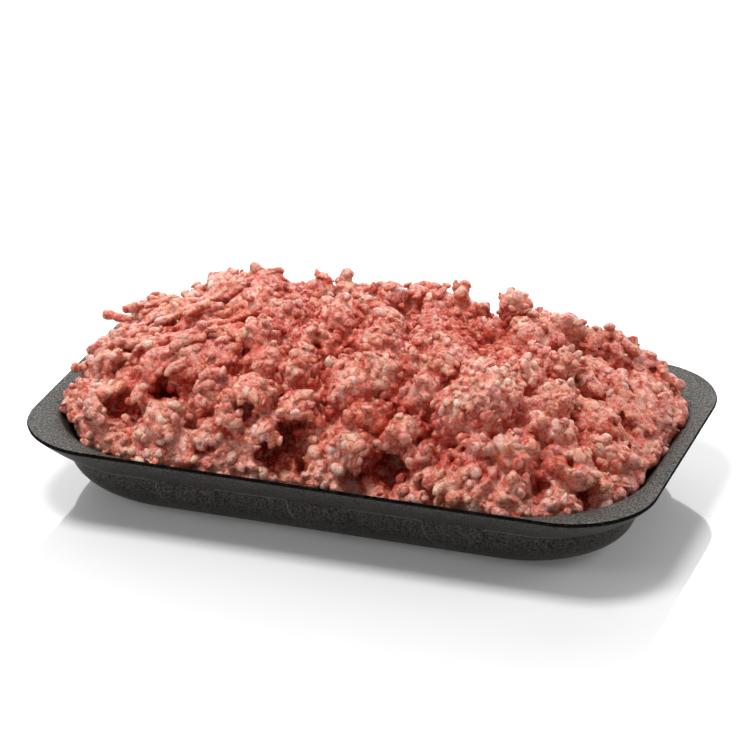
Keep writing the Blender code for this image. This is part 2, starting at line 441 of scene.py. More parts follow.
@dataclass(frozen=True)
class MeatFinish:
    """Raw mince: each crumb's own tone of red or pink, grainy, marbled with fat and wet, with painted shade where its
    small cells meet.
    """

    name: str
    # deep is the darkest red, reached mostly where painted shade lowers the tone: hollows, cell edges and the feet of
    # crumbs.
    deep: Colour = (0.36, 0.012, 0.004, 1.0)
    lean: Colour = (0.60, 0.089, 0.046, 1.0)
    pink: Colour = (0.77, 0.392, 0.293, 1.0)
    pale: Colour = (0.81, 0.665, 0.545, 1.0)
    fat: Colour = (0.87, 0.71, 0.54, 1.0)
    warm: Colour = (1.03, 1.02, 0.91, 1.0)
    mauve: Colour = (0.99, 0.96, 1.06, 1.0)
    cast_scale: float = 60.0
    marbling_scale: float = 420.0
    pebble_scale: float = 420.0
    pebble_depth: float = 0.2 * MM
    grit_scale: float = 950.0
    grit_depth: float = 0.32 * MM
    wrinkle_scale: float = 2200.0
    wrinkle_depth: float = 0.3 * MM
    swing: float = 0.5
    fleck_scale: float = 1150.0
    fleck_swing: float = 0.75
    # crease: how much lower the tone is at the edges between small cells, a painted shade.
    crease: float = 0.13
    roughness: float = 0.38
    wetness: float = 0.6

    def material(self) -> bpy.types.Material:
        """Make the meat's material."""
        board = NodeBoard(self.name)
        tint = board.node("Attribute", attribute_name="tint")
        parts = board.node("SeparateColor")
        board.feed(parts.inputs["Color"], tint.outputs["Color"])
        pebbles = board.pebbles(self.pebble_scale, 0.9 * MM)
        grit = board.pebbles(self.grit_scale, 0.5 * MM)
        marbling = board.noise(self.marbling_scale, 3.0, 0.6)
        wrinkles = board.noise(self.wrinkle_scale, 3.0, 0.65)
        swing = board.math("MULTIPLY", board.math("SUBTRACT", marbling, 0.5), self.swing)
        # The edges between the small cells get a lower tone and less fat: painted shade in the creases.
        shaded_seams = board.math("ADD", board.map_range(pebbles, 0.35, 0.85), board.map_range(grit, 0.4, 0.9))
        flecks = board.math("SUBTRACT", board.noise(self.fleck_scale, 3.0, 0.7), 0.5)
        tone = board.math("ADD", parts.outputs["Red"], swing)
        tone = board.math("ADD", tone, board.math("MULTIPLY", flecks, self.fleck_swing))
        tone = board.math("SUBTRACT", tone, board.math("MULTIPLY", shaded_seams, self.crease))
        flesh = board.ramp(tone, ((0.0, self.deep), (0.3, self.lean), (0.62, self.pink), (1.0, self.pale)))
        cast = board.math("ADD", board.math("MULTIPLY", parts.outputs["Blue"], 0.6),
                          board.math("MULTIPLY", board.noise(self.cast_scale, 2.0, 0.5), 0.4))
        flesh = board.multiply(flesh, board.mix(board.map_range(cast, 0.2, 0.8), self.warm, self.mauve))
        share = board.math("SUBTRACT", board.math("ADD", parts.outputs["Green"], swing),
                           board.math("MULTIPLY", shaded_seams, 0.3))
        streak = board.map_range(share, 0.35, 0.85)
        board.feed(board.shader.inputs["Base Color"], board.mix(streak, flesh, self.fat))
        board.feed(board.shader.inputs["Roughness"],
                   board.map_range(wrinkles, 0.3, 0.7, self.roughness - 0.08, self.roughness + 0.12))
        shader = board.shader
        shader.inputs["Specular IOR Level"].default_value = 0.3
        shader.inputs["Subsurface Weight"].default_value = 0.45
        shader.inputs["Subsurface Radius"].default_value = (1.0, 0.30, 0.18)
        shader.inputs["Subsurface Scale"].default_value = 0.5 * MM
        shader.inputs["Coat Weight"].default_value = self.wetness
        shader.inputs["Coat Roughness"].default_value = 0.18
        relief = board.bump(self.domes(board, pebbles), self.pebble_depth, 1.0)
        relief = board.bump(self.domes(board, grit), self.grit_depth, 1.0, relief)
        relief = board.bump(wrinkles, self.wrinkle_depth, 0.8, relief)
        board.feed(shader.inputs["Normal"], relief)
        board.feed(shader.inputs["Coat Normal"], relief)
        return board.material

    def domes(self, board: NodeBoard, cells: bpy.types.NodeSocket) -> bpy.types.NodeSocket:
        """Height of the small domes over a pattern of cells."""
        return board.math("SUBTRACT", 1.0, board.math("MULTIPLY", cells, cells))


@dataclass(frozen=True)
class TableFinish:
    """A pale, smooth, glossy table top, faintly lit from below."""

    colour: Colour = (0.80, 0.80, 0.80, 1.0)
    roughness: float = 0.05
    polish: float = 0.9
    glow: float = 0.09

    def material(self) -> bpy.types.Material:
        """Make the table's material."""
        board = NodeBoard("pale_table")
        board.shader.inputs["Base Color"].default_value = self.colour
        board.shader.inputs["Roughness"].default_value = self.roughness
        board.shader.inputs["Specular IOR Level"].default_value = self.polish
        board.shader.inputs["Emission Color"].default_value = self.colour
        board.shader.inputs["Emission Strength"].default_value = self.glow
        return board.material


# ---------------------------------------------------------------- tray

@dataclass(frozen=True)
class Level:
    """One level of the tray: insets from the rim's outline, its corner radius and height."""

    inset_x: float
    inset_y: float
    radius: float
    height: float


@dataclass
class FoamTray:
    """The moulded foam tray: flat base, round lower wall, step, skirt, thin rim and flange."""

    rim_radius: float = 30 * MM
    rim_thickness: float = 1.3 * MM
    wall_thickness: float = 3.0 * MM
    step_drop: float = 10.3 * MM
    step_inset: float = 8.3 * MM
    step_ledge: float = 0.6 * MM
    step_radius: float = 31 * MM
    base_inset: float = 26.4 * MM
    base_radius: float = 32.5 * MM
    lower_wall_radius: float = 15.9 * MM
    crest_inset_x: float = 6.0 * MM
    crest_inset_y: float = 1.5 * MM
    crest_drop: float = 0.6 * MM
    crest_radius: float = 46 * MM
    shoulder_inset_x: float = 13.0 * MM
    shoulder_inset_y: float = 11.0 * MM
    shoulder_radius: float = 37 * MM
    panel_pitch: float = 48 * MM
    panel_count: int = 3
    panel_half_width: float = 11 * MM
    panel_corner: float = 8 * MM
    panel_top: float = 14.5 * MM
    panel_rise: float = 1.0 * MM
    panel_flank: float = 0.6 * MM
    column_width: float = 0.6 * MM
    corner_steps: int = 28
    finish: FoamFinish = field(default_factory=FoamFinish)
    # The up-facing flange gets a lighter foam: a painted sheen where the real foam catches the light.
    flange_sheen_finish: FoamFinish = FoamFinish("flange_foam_painted_sheen", (0.011, 0.010, 0.009, 1.0), (0.060, 0.056, 0.049, 1.0),
                                           (0.25, 0.238, 0.214, 1.0), 1400.0, 0.4 * MM, 0.4, 0.7, 0.28)
    # The step's ledge and the panels' left flanks get a lighter foam: a painted highlight.
    flank_highlight_finish: FoamFinish = FoamFinish("foam_painted_highlight", (0.07, 0.066, 0.06, 1.0), (0.11, 0.104, 0.095, 1.0),
                                         (0.16, 0.15, 0.135, 1.0), 1150.0, 0.1 * MM, 0.4, 0.6, 0.3)
    # The rim's outer edge gets a near-black, dull foam.
    edge_finish: FoamFinish = FoamFinish("dark_foam_rim_edge", (0.002, 0.002, 0.002, 1.0), (0.004, 0.004, 0.0035, 1.0),
                                         (0.02, 0.019, 0.017, 1.0), 1000.0, 0.1 * MM, 0.8, 0.95, 0.05)

    def __post_init__(self) -> None:
        """Take the tray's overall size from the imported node."""
        low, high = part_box("tray")
        self.half_x = (high.x - low.x) / 2
        self.half_y = (high.y - low.y) / 2
        self.height = high.z - low.z

    def lower_wall(self, arc_radius: float, angles: Sequence[float], end_radius: float) -> list[Level]:
        """Levels of a quarter round between the flat base and the upright wall.

        Args:
            arc_radius: Radius of the quarter round.
            angles: Turns from the base in degrees, in order.
            end_radius: Plan radius of the corners at the wall's end of the round.

        Returns:
            The levels.
        """
        levels = []
        for degrees in angles:
            angle = math.radians(degrees)
            inset = self.base_inset - arc_radius * math.sin(angle)
            height = self.lower_wall_radius - arc_radius * math.cos(angle)
            radius = self.base_radius + (end_radius - self.base_radius) * degrees / 90
            levels.append(Level(inset, inset, radius, height))
        return levels

    def blend_levels(self, first: Level, middle: Level, last: Level, steps: int) -> list[Level]:
        """Levels along a curve that leaves first towards middle and comes to last from it.

        Args:
            first: Level where the curve starts, which isn't repeated.
            middle: Level that pulls the curve.
            last: Level where the curve ends.
            steps: How many levels to make.

        Returns:
            The levels.
        """
        levels = []
        for step in range(1, steps + 1):
            share = step / steps
            weights = ((1 - share) ** 2, 2 * share * (1 - share), share ** 2)
            values = []
            for name in ("inset_x", "inset_y", "radius", "height"):
                ends = (getattr(first, name), getattr(middle, name), getattr(last, name))
                values.append(sum(weight * end for weight, end in zip(weights, ends)))
            levels.append(Level(*values))
        return levels

    def section(self) -> list[Level]:
        """Levels from the base up the outside, over the rim and down the inside to the floor."""
        step_height = self.height - self.step_drop
        step_low = self.step_inset + self.step_ledge
        levels = self.lower_wall(self.lower_wall_radius, range(0, 91, 5), self.step_radius)
        levels.append(Level(step_low, step_low, self.step_radius, step_height - self.step_ledge))
        levels.append(Level(self.step_inset, self.step_inset, self.step_radius, step_height))
        skirt = levels[-1]
        lip = Level(0.15 * MM, 0.15 * MM, self.rim_radius, self.height - self.rim_thickness)
        bow = Level(self.step_inset * 0.42, self.step_inset * 0.42, self.rim_radius,
                    self.height - self.step_drop * 0.55)
        levels += self.blend_levels(skirt, bow, lip, 8)
        edge = Level(0.0, 0.0, self.rim_radius, self.height - self.rim_thickness / 2)
        levels.append(edge)
        rim = Level(0.25 * MM, 0.25 * MM, self.rim_radius, self.height)
        levels.append(rim)
        crest = Level(self.crest_inset_x, self.crest_inset_y, self.crest_radius,
                      self.height - self.crest_drop)
        shoulder = Level(self.shoulder_inset_x, self.shoulder_inset_y, self.shoulder_radius,
                         step_height)
        before = self.blend_levels(rim, self.between(rim, crest, 0.5), crest, 4)[2]
        after = self.between(crest, shoulder, 0.16)
        levels.append(self.between(rim, crest, 0.35))
        levels.append(before)
        levels += self.blend_levels(before, crest, after, 5)
        levels.append(self.between(after, shoulder, 0.5))
        levels.append(shoulder)
        inner_radius = self.lower_wall_radius - self.wall_thickness
        levels += self.lower_wall(inner_radius, range(90, -1, -10), self.base_radius)
        return levels

    def between(self, first: Level, second: Level, share: float) -> Level:
        """The level at a share of the way from first to second."""
        values = []
        for name in ("inset_x", "inset_y", "radius", "height"):
            start = getattr(first, name)
            values.append(start + share * (getattr(second, name) - start))
        return Level(*values)

    def corner_centre(self, level: Level) -> tuple[float, float]:
        """Centre of the corner arc in the first quadrant of a level."""
        return self.half_x - level.inset_x - level.radius, self.half_y - level.inset_y - level.radius

    def reshape(self, mesh: bpy.types.Mesh, previous: Level, level: Level) -> None:
        """Move and scale the selected ring's four corners from one level's plan to the next.

        Args:
            mesh: The mesh in edit mode, with the ring selected.
            previous: The level whose plan the ring still has.
            level: The level to bring it to.
        """
        edit = bmesh.from_edit_mesh(mesh)
        ring = [vertex for vertex in edit.verts if vertex.select]
        old_x, old_y = self.corner_centre(previous)
        new_x, new_y = self.corner_centre(level)
        scale = level.radius / previous.radius
        for sign_x in (-1, 1):
            for sign_y in (-1, 1):
                for vertex in ring:
                    vertex.select = vertex.co.x * sign_x > 0 and vertex.co.y * sign_y > 0
                edit.select_flush_mode()
                bmesh.update_edit_mesh(mesh)
                bpy.ops.transform.translate(value=(sign_x * (new_x - old_x), sign_y * (new_y - old_y), 0))
                centre = (sign_x * new_x, sign_y * new_y, level.height)
                bpy.ops.transform.resize(value=(scale, scale, 1), center_override=centre)
                edit = bmesh.from_edit_mesh(mesh)
        for vertex in ring:
            vertex.select = True
        edit.select_flush_mode()
        bmesh.update_edit_mesh(mesh)

    def raise_shell(self) -> bpy.types.Object:
        """Extrude the shell, level by level, from a base plate with rounded corners."""
        levels = self.section()
        base = levels[0]
        bpy.ops.mesh.primitive_plane_add(size=1)
        shell = bpy.context.active_object
        shell.name = "foam_tray"
        with editing(shell):
            bpy.ops.mesh.select_mode(type="VERT")
            bpy.ops.mesh.select_all(action="SELECT")
            bpy.ops.transform.resize(value=(2 * (self.half_x - base.inset_x), 2 * (self.half_y - base.inset_y), 1))
            bpy.ops.mesh.bevel(offset=base.radius, segments=self.corner_steps, affect="VERTICES",
                               clamp_overlap=False)
            bpy.ops.mesh.select_all(action="SELECT")
            for previous, level in zip(levels, levels[1:]):
                rise = level.height - previous.height
                bpy.ops.mesh.extrude_region_move(TRANSFORM_OT_translate={"value": (0, 0, rise)})
                self.reshape(shell.data, previous, level)
            bpy.ops.mesh.select_all(action="SELECT")
            bpy.ops.mesh.normals_make_consistent(inside=False)
        return shell

    def panel_centres(self) -> list[float]:
        """Places of the wall panels along the tray."""
        middle = (self.panel_count - 1) / 2
        return [(index - middle) * self.panel_pitch for index in range(self.panel_count)]

    def cut_columns(self, shell: bpy.types.Object) -> None:
        """Slice the shell across, finely, where the panels rise from its long walls."""
        reach = self.panel_half_width + 2 * self.panel_flank
        columns = round(2 * reach / self.column_width)
        with editing(shell):
            for centre in self.panel_centres():
                for column in range(columns + 1):
                    x = centre - reach + 2 * reach * column / columns
                    bpy.ops.mesh.select_all(action="SELECT")
                    bpy.ops.mesh.bisect(plane_co=(x, 0, 0), plane_no=(1, 0, 0))

    def panel_edge(self, x: float, height: float) -> float:
        """How far outside the outline of the nearest panel a place lies; less than 0 on the panel.

        Args:
            x: Place along the wall.
            height: Height above the base.

        Returns:
            The distance.
        """
        offset = min(abs(x - centre) for centre in self.panel_centres())
        core = self.panel_half_width - self.panel_corner
        below = max(self.panel_top - height, 0.0)
        return math.hypot(max(offset - core, 0.0), below) - self.panel_corner

    def panel_share(self, x: float, height: float) -> float:
        """How far the wall stands out as a panel at a place, from 0 to 1.

        Args:
            x: Place along the wall.
            height: Height above the base.

        Returns:
            The share of the panel's rise.
        """
        share = 0.5 - self.panel_edge(x, height) / self.panel_flank
        share = min(max(share, 0.0), 1.0)
        return share * share * (3 - 2 * share)

    def raise_panels(self, shell: bpy.types.Object) -> None:
        """Push the panels out of the lower part of both long walls."""
        group = shell.vertex_groups.new(name="panels")
        upright = self.half_y - self.base_inset + 1 * MM
        ceiling = self.height - self.step_drop - 0.3 * MM
        outer = self.half_y - self.base_inset + self.lower_wall_radius
        for vertex in shell.data.vertices:
            place = vertex.co
            turned = self.base_inset - (self.half_y - abs(place.y))
            inner = math.hypot(turned, self.lower_wall_radius - place.z) < self.lower_wall_radius - 1 * MM
            if abs(place.y) < upright or abs(place.y) > outer + 2 * MM or place.z > ceiling or inner:
                continue
            share = self.panel_share(place.x, place.z)
            if share > 0:
                group.add([vertex.index], share, "REPLACE")
        apply_modifier(shell, "DISPLACE", strength=self.panel_rise, mid_level=0.0,
                       vertex_group="panels", direction="NORMAL")

    def has_painted_highlight(self, place: Vector) -> bool:
        """Whether a place on the outside is on the step's ledge or on a panel's left flank, where lighter foam is
        painted as a highlight.
        """
        ledge = self.height - self.step_drop - self.step_ledge / 2
        outside = max(abs(place.x) - self.half_x, abs(place.y) - self.half_y) > -self.step_inset - 3 * MM
        if outside and abs(place.z - ledge) < self.step_ledge / 3:
            return True
        if abs(place.y) < self.half_y - self.base_inset + 1 * MM or place.z > ledge:
            return False
        turned = self.base_inset - (self.half_y - abs(place.y))
        if math.hypot(turned, self.lower_wall_radius - place.z) < self.lower_wall_radius - 1 * MM:
            return False
        centre = min(self.panel_centres(), key=lambda middle: abs(place.x - middle))
        return place.x < centre and -0.1 * MM < self.panel_edge(place.x, place.z) < 0.55 * MM

    def darken_edge(self, shell: bpy.types.Object) -> None:
        """Give the rim's outer edge a near-black finish, the flange a lighter one that holds a painted sheen, and the
        step's ledge and the panels' left flanks a lighter one that holds a painted highlight.
        """
        for finish in (self.finish, self.edge_finish, self.flange_sheen_finish, self.flank_highlight_finish):
            shell.data.materials.append(finish.material())
        for face in shell.data.polygons:
            # Ledge and left flanks: lighter foam as a painted highlight.
            if self.has_painted_highlight(face.center):
                face.material_index = 3
                continue
            above_lip = face.center.z > self.height - self.rim_thickness - 0.1 * MM
            outward = face.normal.x * face.center.x + face.normal.y * face.center.y > 0
            if above_lip and abs(face.normal.z) < 0.5 and outward:
                face.material_index = 1
            # Up-facing flange: lighter foam as a painted sheen.
            elif above_lip and face.normal.z > 0.5:
                face.material_index = 2

    def build(self) -> bpy.types.Object:
        """Model and dress the tray.

        Returns:
            The tray's piece.
        """
        shell = self.raise_shell()
        self.cut_columns(shell)
        self.raise_panels(shell)
        make_active(shell)
        bpy.ops.object.shade_smooth_by_angle(angle=math.radians(38))
        self.darken_edge(shell)
        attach(shell, BODY)
        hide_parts("tray")
        return shell


# ---------------------------------------------------------------- mince

@dataclass
class Surface:
    """Points spread over a surface, with its normals."""

    places: np.ndarray
    normals: np.ndarray

    @classmethod
    def of(cls, mesh: bpy.types.Mesh) -> "Surface":
        """The vertices of a mesh as a surface."""
        return cls(*mesh_arrays(mesh))

    def where(self, keep: np.ndarray) -> "Surface":
        """The part of the surface that a mask keeps."""
        return Surface(self.places[keep], self.normals[keep])

    def tree(self) -> KDTree:
        """A search tree over the surface's points."""
        tree = KDTree(len(self.places))
        for index, place in enumerate(self.places):
            tree.insert(place, index)
        tree.balance()
        return tree


@dataclass(frozen=True)
class Master:
    """A modelled shape to copy: vertices about the origin, long side along X, and triangles."""

    vertices: np.ndarray
    triangles: np.ndarray

    @classmethod
    def take(cls, piece: bpy.types.Object) -> "Master":
        """Read a modelled object's mesh, and remove the object.

        Args:
            piece: The modelled object.

        Returns:
            Its shape.
        """
        mesh = piece.data
        vertices, _ = mesh_arrays(mesh)
        mesh.calc_loop_triangles()
        triangles = np.empty(len(mesh.loop_triangles) * 3, np.int32)
        mesh.loop_triangles.foreach_get("vertices", triangles)
        bpy.data.objects.remove(piece, do_unlink=True)
        bpy.data.meshes.remove(mesh)
        return cls(vertices - vertices.mean(0), triangles.reshape(-1, 3))


class Workbench:
    """Models the master shapes of the heap."""

    def crumb(self, seed: int, faces: int, ruggedness: float) -> Master:
        """An uneven nugget of about unit radius.

        Args:
            seed: Seed of its unevenness.
            faces: Subdivisions of the ball it starts as.
            ruggedness: How far its points are moved.

        Returns:
            The shape.
        """
        rng = np.random.default_rng(seed)
        bpy.ops.mesh.primitive_ico_sphere_add(subdivisions=faces, radius=1)
        nugget = bpy.context.active_object
        with editing(nugget):
            bpy.ops.mesh.select_all(action="SELECT")
            bpy.ops.transform.vertex_random(offset=ruggedness, uniform=0.4, normal=0.6, seed=seed)
            bpy.ops.mesh.vertices_smooth(factor=0.25, repeat=1)
            bpy.ops.mesh.select_all(action="SELECT")
            value = (float(rng.uniform(1.05, 1.3)), float(rng.uniform(0.85, 1.0)), float(rng.uniform(0.75, 0.95)))
            bpy.ops.transform.resize(value=value)
        return Master.take(nugget)

    def grain(self, seed: int, ruggedness: float) -> Master:
        """A small rounded grain of about unit radius with two dozen faces.

        Args:
            seed: Seed of its unevenness.
            ruggedness: How far its points are moved.

        Returns:
            The shape.
        """
        rng = np.random.default_rng(seed)
        bpy.ops.mesh.primitive_cube_add(size=2)
        grain = bpy.context.active_object
        with editing(grain):
            bpy.ops.mesh.select_all(action="SELECT")
            bpy.ops.mesh.subdivide(number_cuts=1)
            bpy.ops.transform.tosphere(value=1.0)
            bpy.ops.transform.resize(value=(1 / 1.35,) * 3)
            bpy.ops.transform.vertex_random(offset=ruggedness, uniform=0.5, normal=0.5, seed=seed)
            value = (float(rng.uniform(1.0, 1.25)), float(rng.uniform(0.85, 1.0)), float(rng.uniform(0.8, 1.0)))
            bpy.ops.transform.resize(value=value)
        return Master.take(grain)

    def strand(self, seed: int, joints: int, sides: int) -> Master:
        """A bent, knobbly string of meat of about unit radius, extruded along X.

        Args:
            seed: Seed of its bends.
            joints: How many stretches it is extruded in.
            sides: Number of sides of its section.

        Returns:
            The shape.
        """
        rng = np.random.default_rng(seed)
        bpy.ops.mesh.primitive_circle_add(vertices=sides, radius=0.45, fill_type="NGON",
                                          rotation=(0, math.pi / 2, 0))
        string = bpy.context.active_object
        bpy.ops.object.transform_apply(rotation=True, location=False, scale=False)
        radius = 0.45
        heading = Vector((1.0, 0.0, 0.0))
        end = Vector((0.0, 0.0, 0.0))
        with editing(string):
            bpy.ops.mesh.select_all(action="SELECT")
            for joint in range(joints):
                last = joint == joints - 1
                stretch = 0.4 if joint == 0 or last else float(rng.uniform(0.75, 1.1))
                step = heading * stretch
                bpy.ops.mesh.extrude_region_move(TRANSFORM_OT_translate={"value": step[:]})
                end += step
                target = 0.45 if last else float(rng.uniform(0.8, 1.15))
                scale = target / radius
                bpy.ops.transform.resize(value=(scale, scale, scale), center_override=end[:])
                radius = target
                turn = float(rng.uniform(-0.35, 0.35))
                bpy.ops.transform.rotate(value=turn, orient_axis="Z", center_override=end[:])
                selected = [v.co.copy() for v in bmesh.from_edit_mesh(string.data).verts if v.select]
                side_a = selected[0] - end
                side_b = selected[sides // 4 + 1] - end
                normal = side_a.cross(side_b).normalized()
                heading = normal if normal.dot(heading) > 0 else -normal
            bpy.ops.mesh.select_all(action="SELECT")
            bpy.ops.mesh.normals_make_consistent(inside=False)
            bpy.ops.transform.vertex_random(offset=0.12, uniform=0.5, normal=0.5, seed=seed)
        return Master.take(string)


class InnerWall:
    """The inner side of the tray, which the mince stays clear of."""

    def __init__(self, tray: bpy.types.Object, margin: float = 0.15 * MM) -> None:
        """Gather the faces of the tray's inner side.

        Args:
            tray: The tray's piece.
            margin: Least gap between the mince and the wall.
        """
        mesh = tray.data
        inner = []
        for face in mesh.polygons:
            inward = face.normal.x * face.center.x + face.normal.y * face.center.y < 0
            if face.normal.z > 0.02 and (inward or face.normal.z > 0.8):
                inner.append(tuple(face.vertices))
        self.tree = BVHTree.FromPolygons([vertex.co for vertex in mesh.vertices], inner)
        self.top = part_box("tray")[1].z
        self.margin = margin

    def push_clear(self, places: np.ndarray) -> np.ndarray:
        """Move the points that have sunk into the wall back to just clear of it.

        Args:
            places: Points of the mince, one row each.

        Returns:
            The points, all clear of the wall.
        """
        clear = places.copy()
        for index in np.nonzero(places[:, 2] < self.top + self.margin)[0]:
            here = Vector(places[index])
            near, normal, _, _ = self.tree.find_nearest(here)
            if (here - near).dot(normal) < self.margin:
                clear[index] = near + normal * self.margin
        return clear


class Crowd:
    """Many copies of master shapes, gathered into one mesh with a tint for each copy."""

    def __init__(self) -> None:
        """Start with no copies."""
        self.vertices: list[np.ndarray] = []
        self.triangles: list[np.ndarray] = []
        self.tints: list[np.ndarray] = []
        self.count = 0
        self.copies = 0

    def add(self, master: Master, place: np.ndarray, axes: np.ndarray, size: np.ndarray, tint: np.ndarray,
            foot_shade: float = 0.0) -> None:
        """Add one copy.

        Args:
            master: The shape to copy.
            place: Where its centre goes.
            axes: Its X, Y and Z directions, as rows.
            size: Its size along each of them.
            tint: Its tone, share of fat and own random value.
            foot_shade: How much deeper its tone is at its foot than at its top, a painted shade.
        """
        moved = (master.vertices * size) @ axes + place
        self.vertices.append(moved)
        self.triangles.append(master.triangles + self.count)
        tints = np.tile(tint, (len(moved), 1))
        # The foot of each copy gets a deeper tone than its top: painted shade.
        tints[:, 0] -= foot_shade * (0.6 - np.clip(master.vertices[:, 2], -1, 0.6))
        self.tints.append(tints)
        self.count += len(moved)
        self.copies += 1

    def piece(self, name: str, warp: float = 0.0, warp_size: float = 1.0,
              wall: InnerWall | None = None) -> bpy.types.Object:
        """Join the copies into one object.

        Args:
            name: The object's name.
            warp: How far a random field bends the copies.
            warp_size: Wavelength of that field.
            wall: The wall that they stay clear of.

        Returns:
            The object, in the scene.
        """
        vertices = np.concatenate(self.vertices)
        if warp > 0:
            bend = [smooth_waves(vertices, warp_size, 900 + axis) for axis in range(3)]
            vertices = vertices + warp * np.stack(bend, 1)
        if wall is not None:
            vertices = wall.push_clear(vertices)
        triangles = np.concatenate(self.triangles)
        mesh = bpy.data.meshes.new(name)
        mesh.vertices.add(len(vertices))
        mesh.vertices.foreach_set("co", vertices.astype(np.float32).ravel())
        mesh.loops.add(triangles.size)
        mesh.loops.foreach_set("vertex_index", triangles.astype(np.int32).ravel())
        mesh.polygons.add(len(triangles))
        mesh.polygons.foreach_set("loop_start", np.arange(0, triangles.size, 3, dtype=np.int32))
        mesh.update(calc_edges=True)
        mesh.polygons.foreach_set("use_smooth", np.ones(len(triangles), bool))
        paint_tint(mesh, np.concatenate(self.tints))
        piece = bpy.data.objects.new(name, mesh)
        bpy.context.scene.collection.objects.link(piece)
        return piece


def paint_tint(mesh: bpy.types.Mesh, tints: np.ndarray) -> None:
    """Store a tint for each vertex of a mesh.

    Args:
        mesh: The mesh.
        tints: Tone, share of fat and random value, one row for each vertex.
    """
    layer = mesh.attributes.new("tint", "FLOAT_COLOR", "POINT")
    colours = np.ones((len(tints), 4), np.float32)
    colours[:, :3] = tints
    layer.data.foreach_set("color", colours.ravel())


@dataclass(frozen=True)
class Spot:
    """A place on the heap in millimetres, how far it spreads and how far it stands out."""

    x: float
    y: float
    z: float
    spread: float
    rise: float = 1.4

    def centre(self) -> np.ndarray:
        """The place in metres."""
        return np.array([self.x, self.y, self.z]) * MM

    def radius(self) -> float:
        """The spread in metres."""
        return self.spread * MM


LUMPS: tuple[Spot, ...] = (
    Spot(-87, -50, 38, 10), Spot(-66, -57, 37, 9.5), Spot(-45, -60, 33, 8), Spot(-64, -53, 46, 5),
    Spot(-46, -46, 50, 8), Spot(-33, -50, 52, 9), Spot(-22, -58, 40, 8.5), Spot(-28, -33, 61, 8),
    Spot(-38, -20, 65, 8), Spot(-58, -29, 59, 9), Spot(-14, -50, 52, 7.5), Spot(3, -40, 57, 8),
    Spot(9, -58, 38, 9), Spot(31, -58, 34, 8.5), Spot(28, -37, 57, 7), Spot(49, -38, 57, 14, 3.0),
    Spot(43, -20, 60, 7), Spot(59, -14, 59, 9), Spot(68, -47, 46, 8.5), Spot(76, -17, 52, 8.5),
    Spot(84, -40, 43, 9), Spot(97, -28, 36, 8.5), Spot(82, 6, 48, 8), Spot(97, 12, 38, 8),
    Spot(54, -59, 34, 8), Spot(82, -55, 33, 8), Spot(101, 30, 35, 7, -1.5), Spot(53, 20, 59, 8),
    Spot(15, 20, 63, 8), Spot(-15, -2, 66, 7), Spot(-44, 18, 67, 9),
    Spot(-4, 30, 64, 8, 1.2), Spot(-84, 10, 54, 8), Spot(7, -17, 63, 7.5), Spot(31, 31, 61, 5.5, 2.4),
    Spot(-92, 15, 48, 5.5, 3.6), Spot(-88, 22, 48, 6, 3.4), Spot(60, 33, 58, 5.5, 5.4), Spot(-69, 30, 57, 6, 4.0), Spot(-23, 43, 56, 6, 3.5), Spot(-17, 44, 55, 6, 3.5), Spot(6, 38, 59, 6, 4.5),
    Spot(14, 27, 65, 6, 2.5), Spot(22, 28, 65, 6, 2.2), Spot(45, 39, 56, 6, 4.5), Spot(50, 42, 53, 6, 5.0),
    Spot(56, 31, 58, 6, 4.5), Spot(62, 33, 58, 6.5, 4.5), Spot(73, 36, 52, 6.5, 4.0), Spot(79, 38, 48, 6.5, 4.0),
    Spot(84, 41, 43, 6, 3.5), Spot(62, 19, 55, 7, 1.5), Spot(33, -60, 31, 7.5, 2.0), Spot(26, -50, 46, 6, 1.6),
)
HOLLOWS: tuple[Spot, ...] = (
    Spot(-73, -52, 40, 5.5), Spot(-77, -51, 42, 4), Spot(-60, -45, 48, 6.5), Spot(-56, -44, 47, 5),
    Spot(-48, -54, 41, 4.5), Spot(-52, -52, 43, 3.5), Spot(-6, -19, 62, 4.5), Spot(-13, -55, 35, 6.5),
    Spot(-12, -54, 31, 5.5), Spot(-5, -54, 40, 4.5), Spot(0, -55, 44, 3.5), Spot(22, -58, 31, 6.5), Spot(18, -59, 34, 5),
    Spot(25, -57, 36, 4.5), Spot(15, -60, 27, 4), Spot(18, -49, 52, 3), Spot(20, -33, 57, 4),
    Spot(39, -50, 44, 4), Spot(45, -52, 45, 3.5), Spot(34, -48, 47, 3), Spot(63, -37, 52, 4),
    Spot(85, -29, 44, 4.5), Spot(93, -33, 39, 3.5), Spot(23, -14, 64, 4), Spot(19, -16, 64, 3),
    Spot(64, 19, 54, 3.5), Spot(69, 12, 53, 3.5), Spot(75, 5, 52, 3), Spot(87, -6, 46, 3.5),
    Spot(93, -8, 43, 3.5), Spot(97, -7, 38, 3.5), Spot(99, -14, 35, 3.5), Spot(40, -63, 28, 3.5),
    Spot(92, -47, 25, 4), Spot(78, 28, 46, 3.5), Spot(-27, -57, 46, 3.5), Spot(74, -30, 51, 3),
    Spot(83, -47, 42, 3.5), Spot(61, -56, 41, 3.5), Spot(-77, -5, 54, 3), Spot(-84, -29, 50, 3),
    Spot(-38, -60, 34, 3.5), Spot(75, -57, 30, 4),
)


@dataclass(frozen=True)
class Rope:
    """A thick string of mince pressed into the heap, from one spot to another."""

    start: Spot
    end: Spot

    def spots(self) -> list[Spot]:
        """Spots along the rope, closer together than they are wide."""
        first, last = self.start, self.end
        span = math.dist((first.x, first.y, first.z), (last.x, last.y, last.z))
        count = max(round(span / (0.7 * first.spread)), 1)
        spots = []
        for step in range(count + 1):
            share = step / count
            values = [a + share * (b - a) for a, b in zip(astuple(first), astuple(last))]
            spots.append(Spot(*values))
        return spots


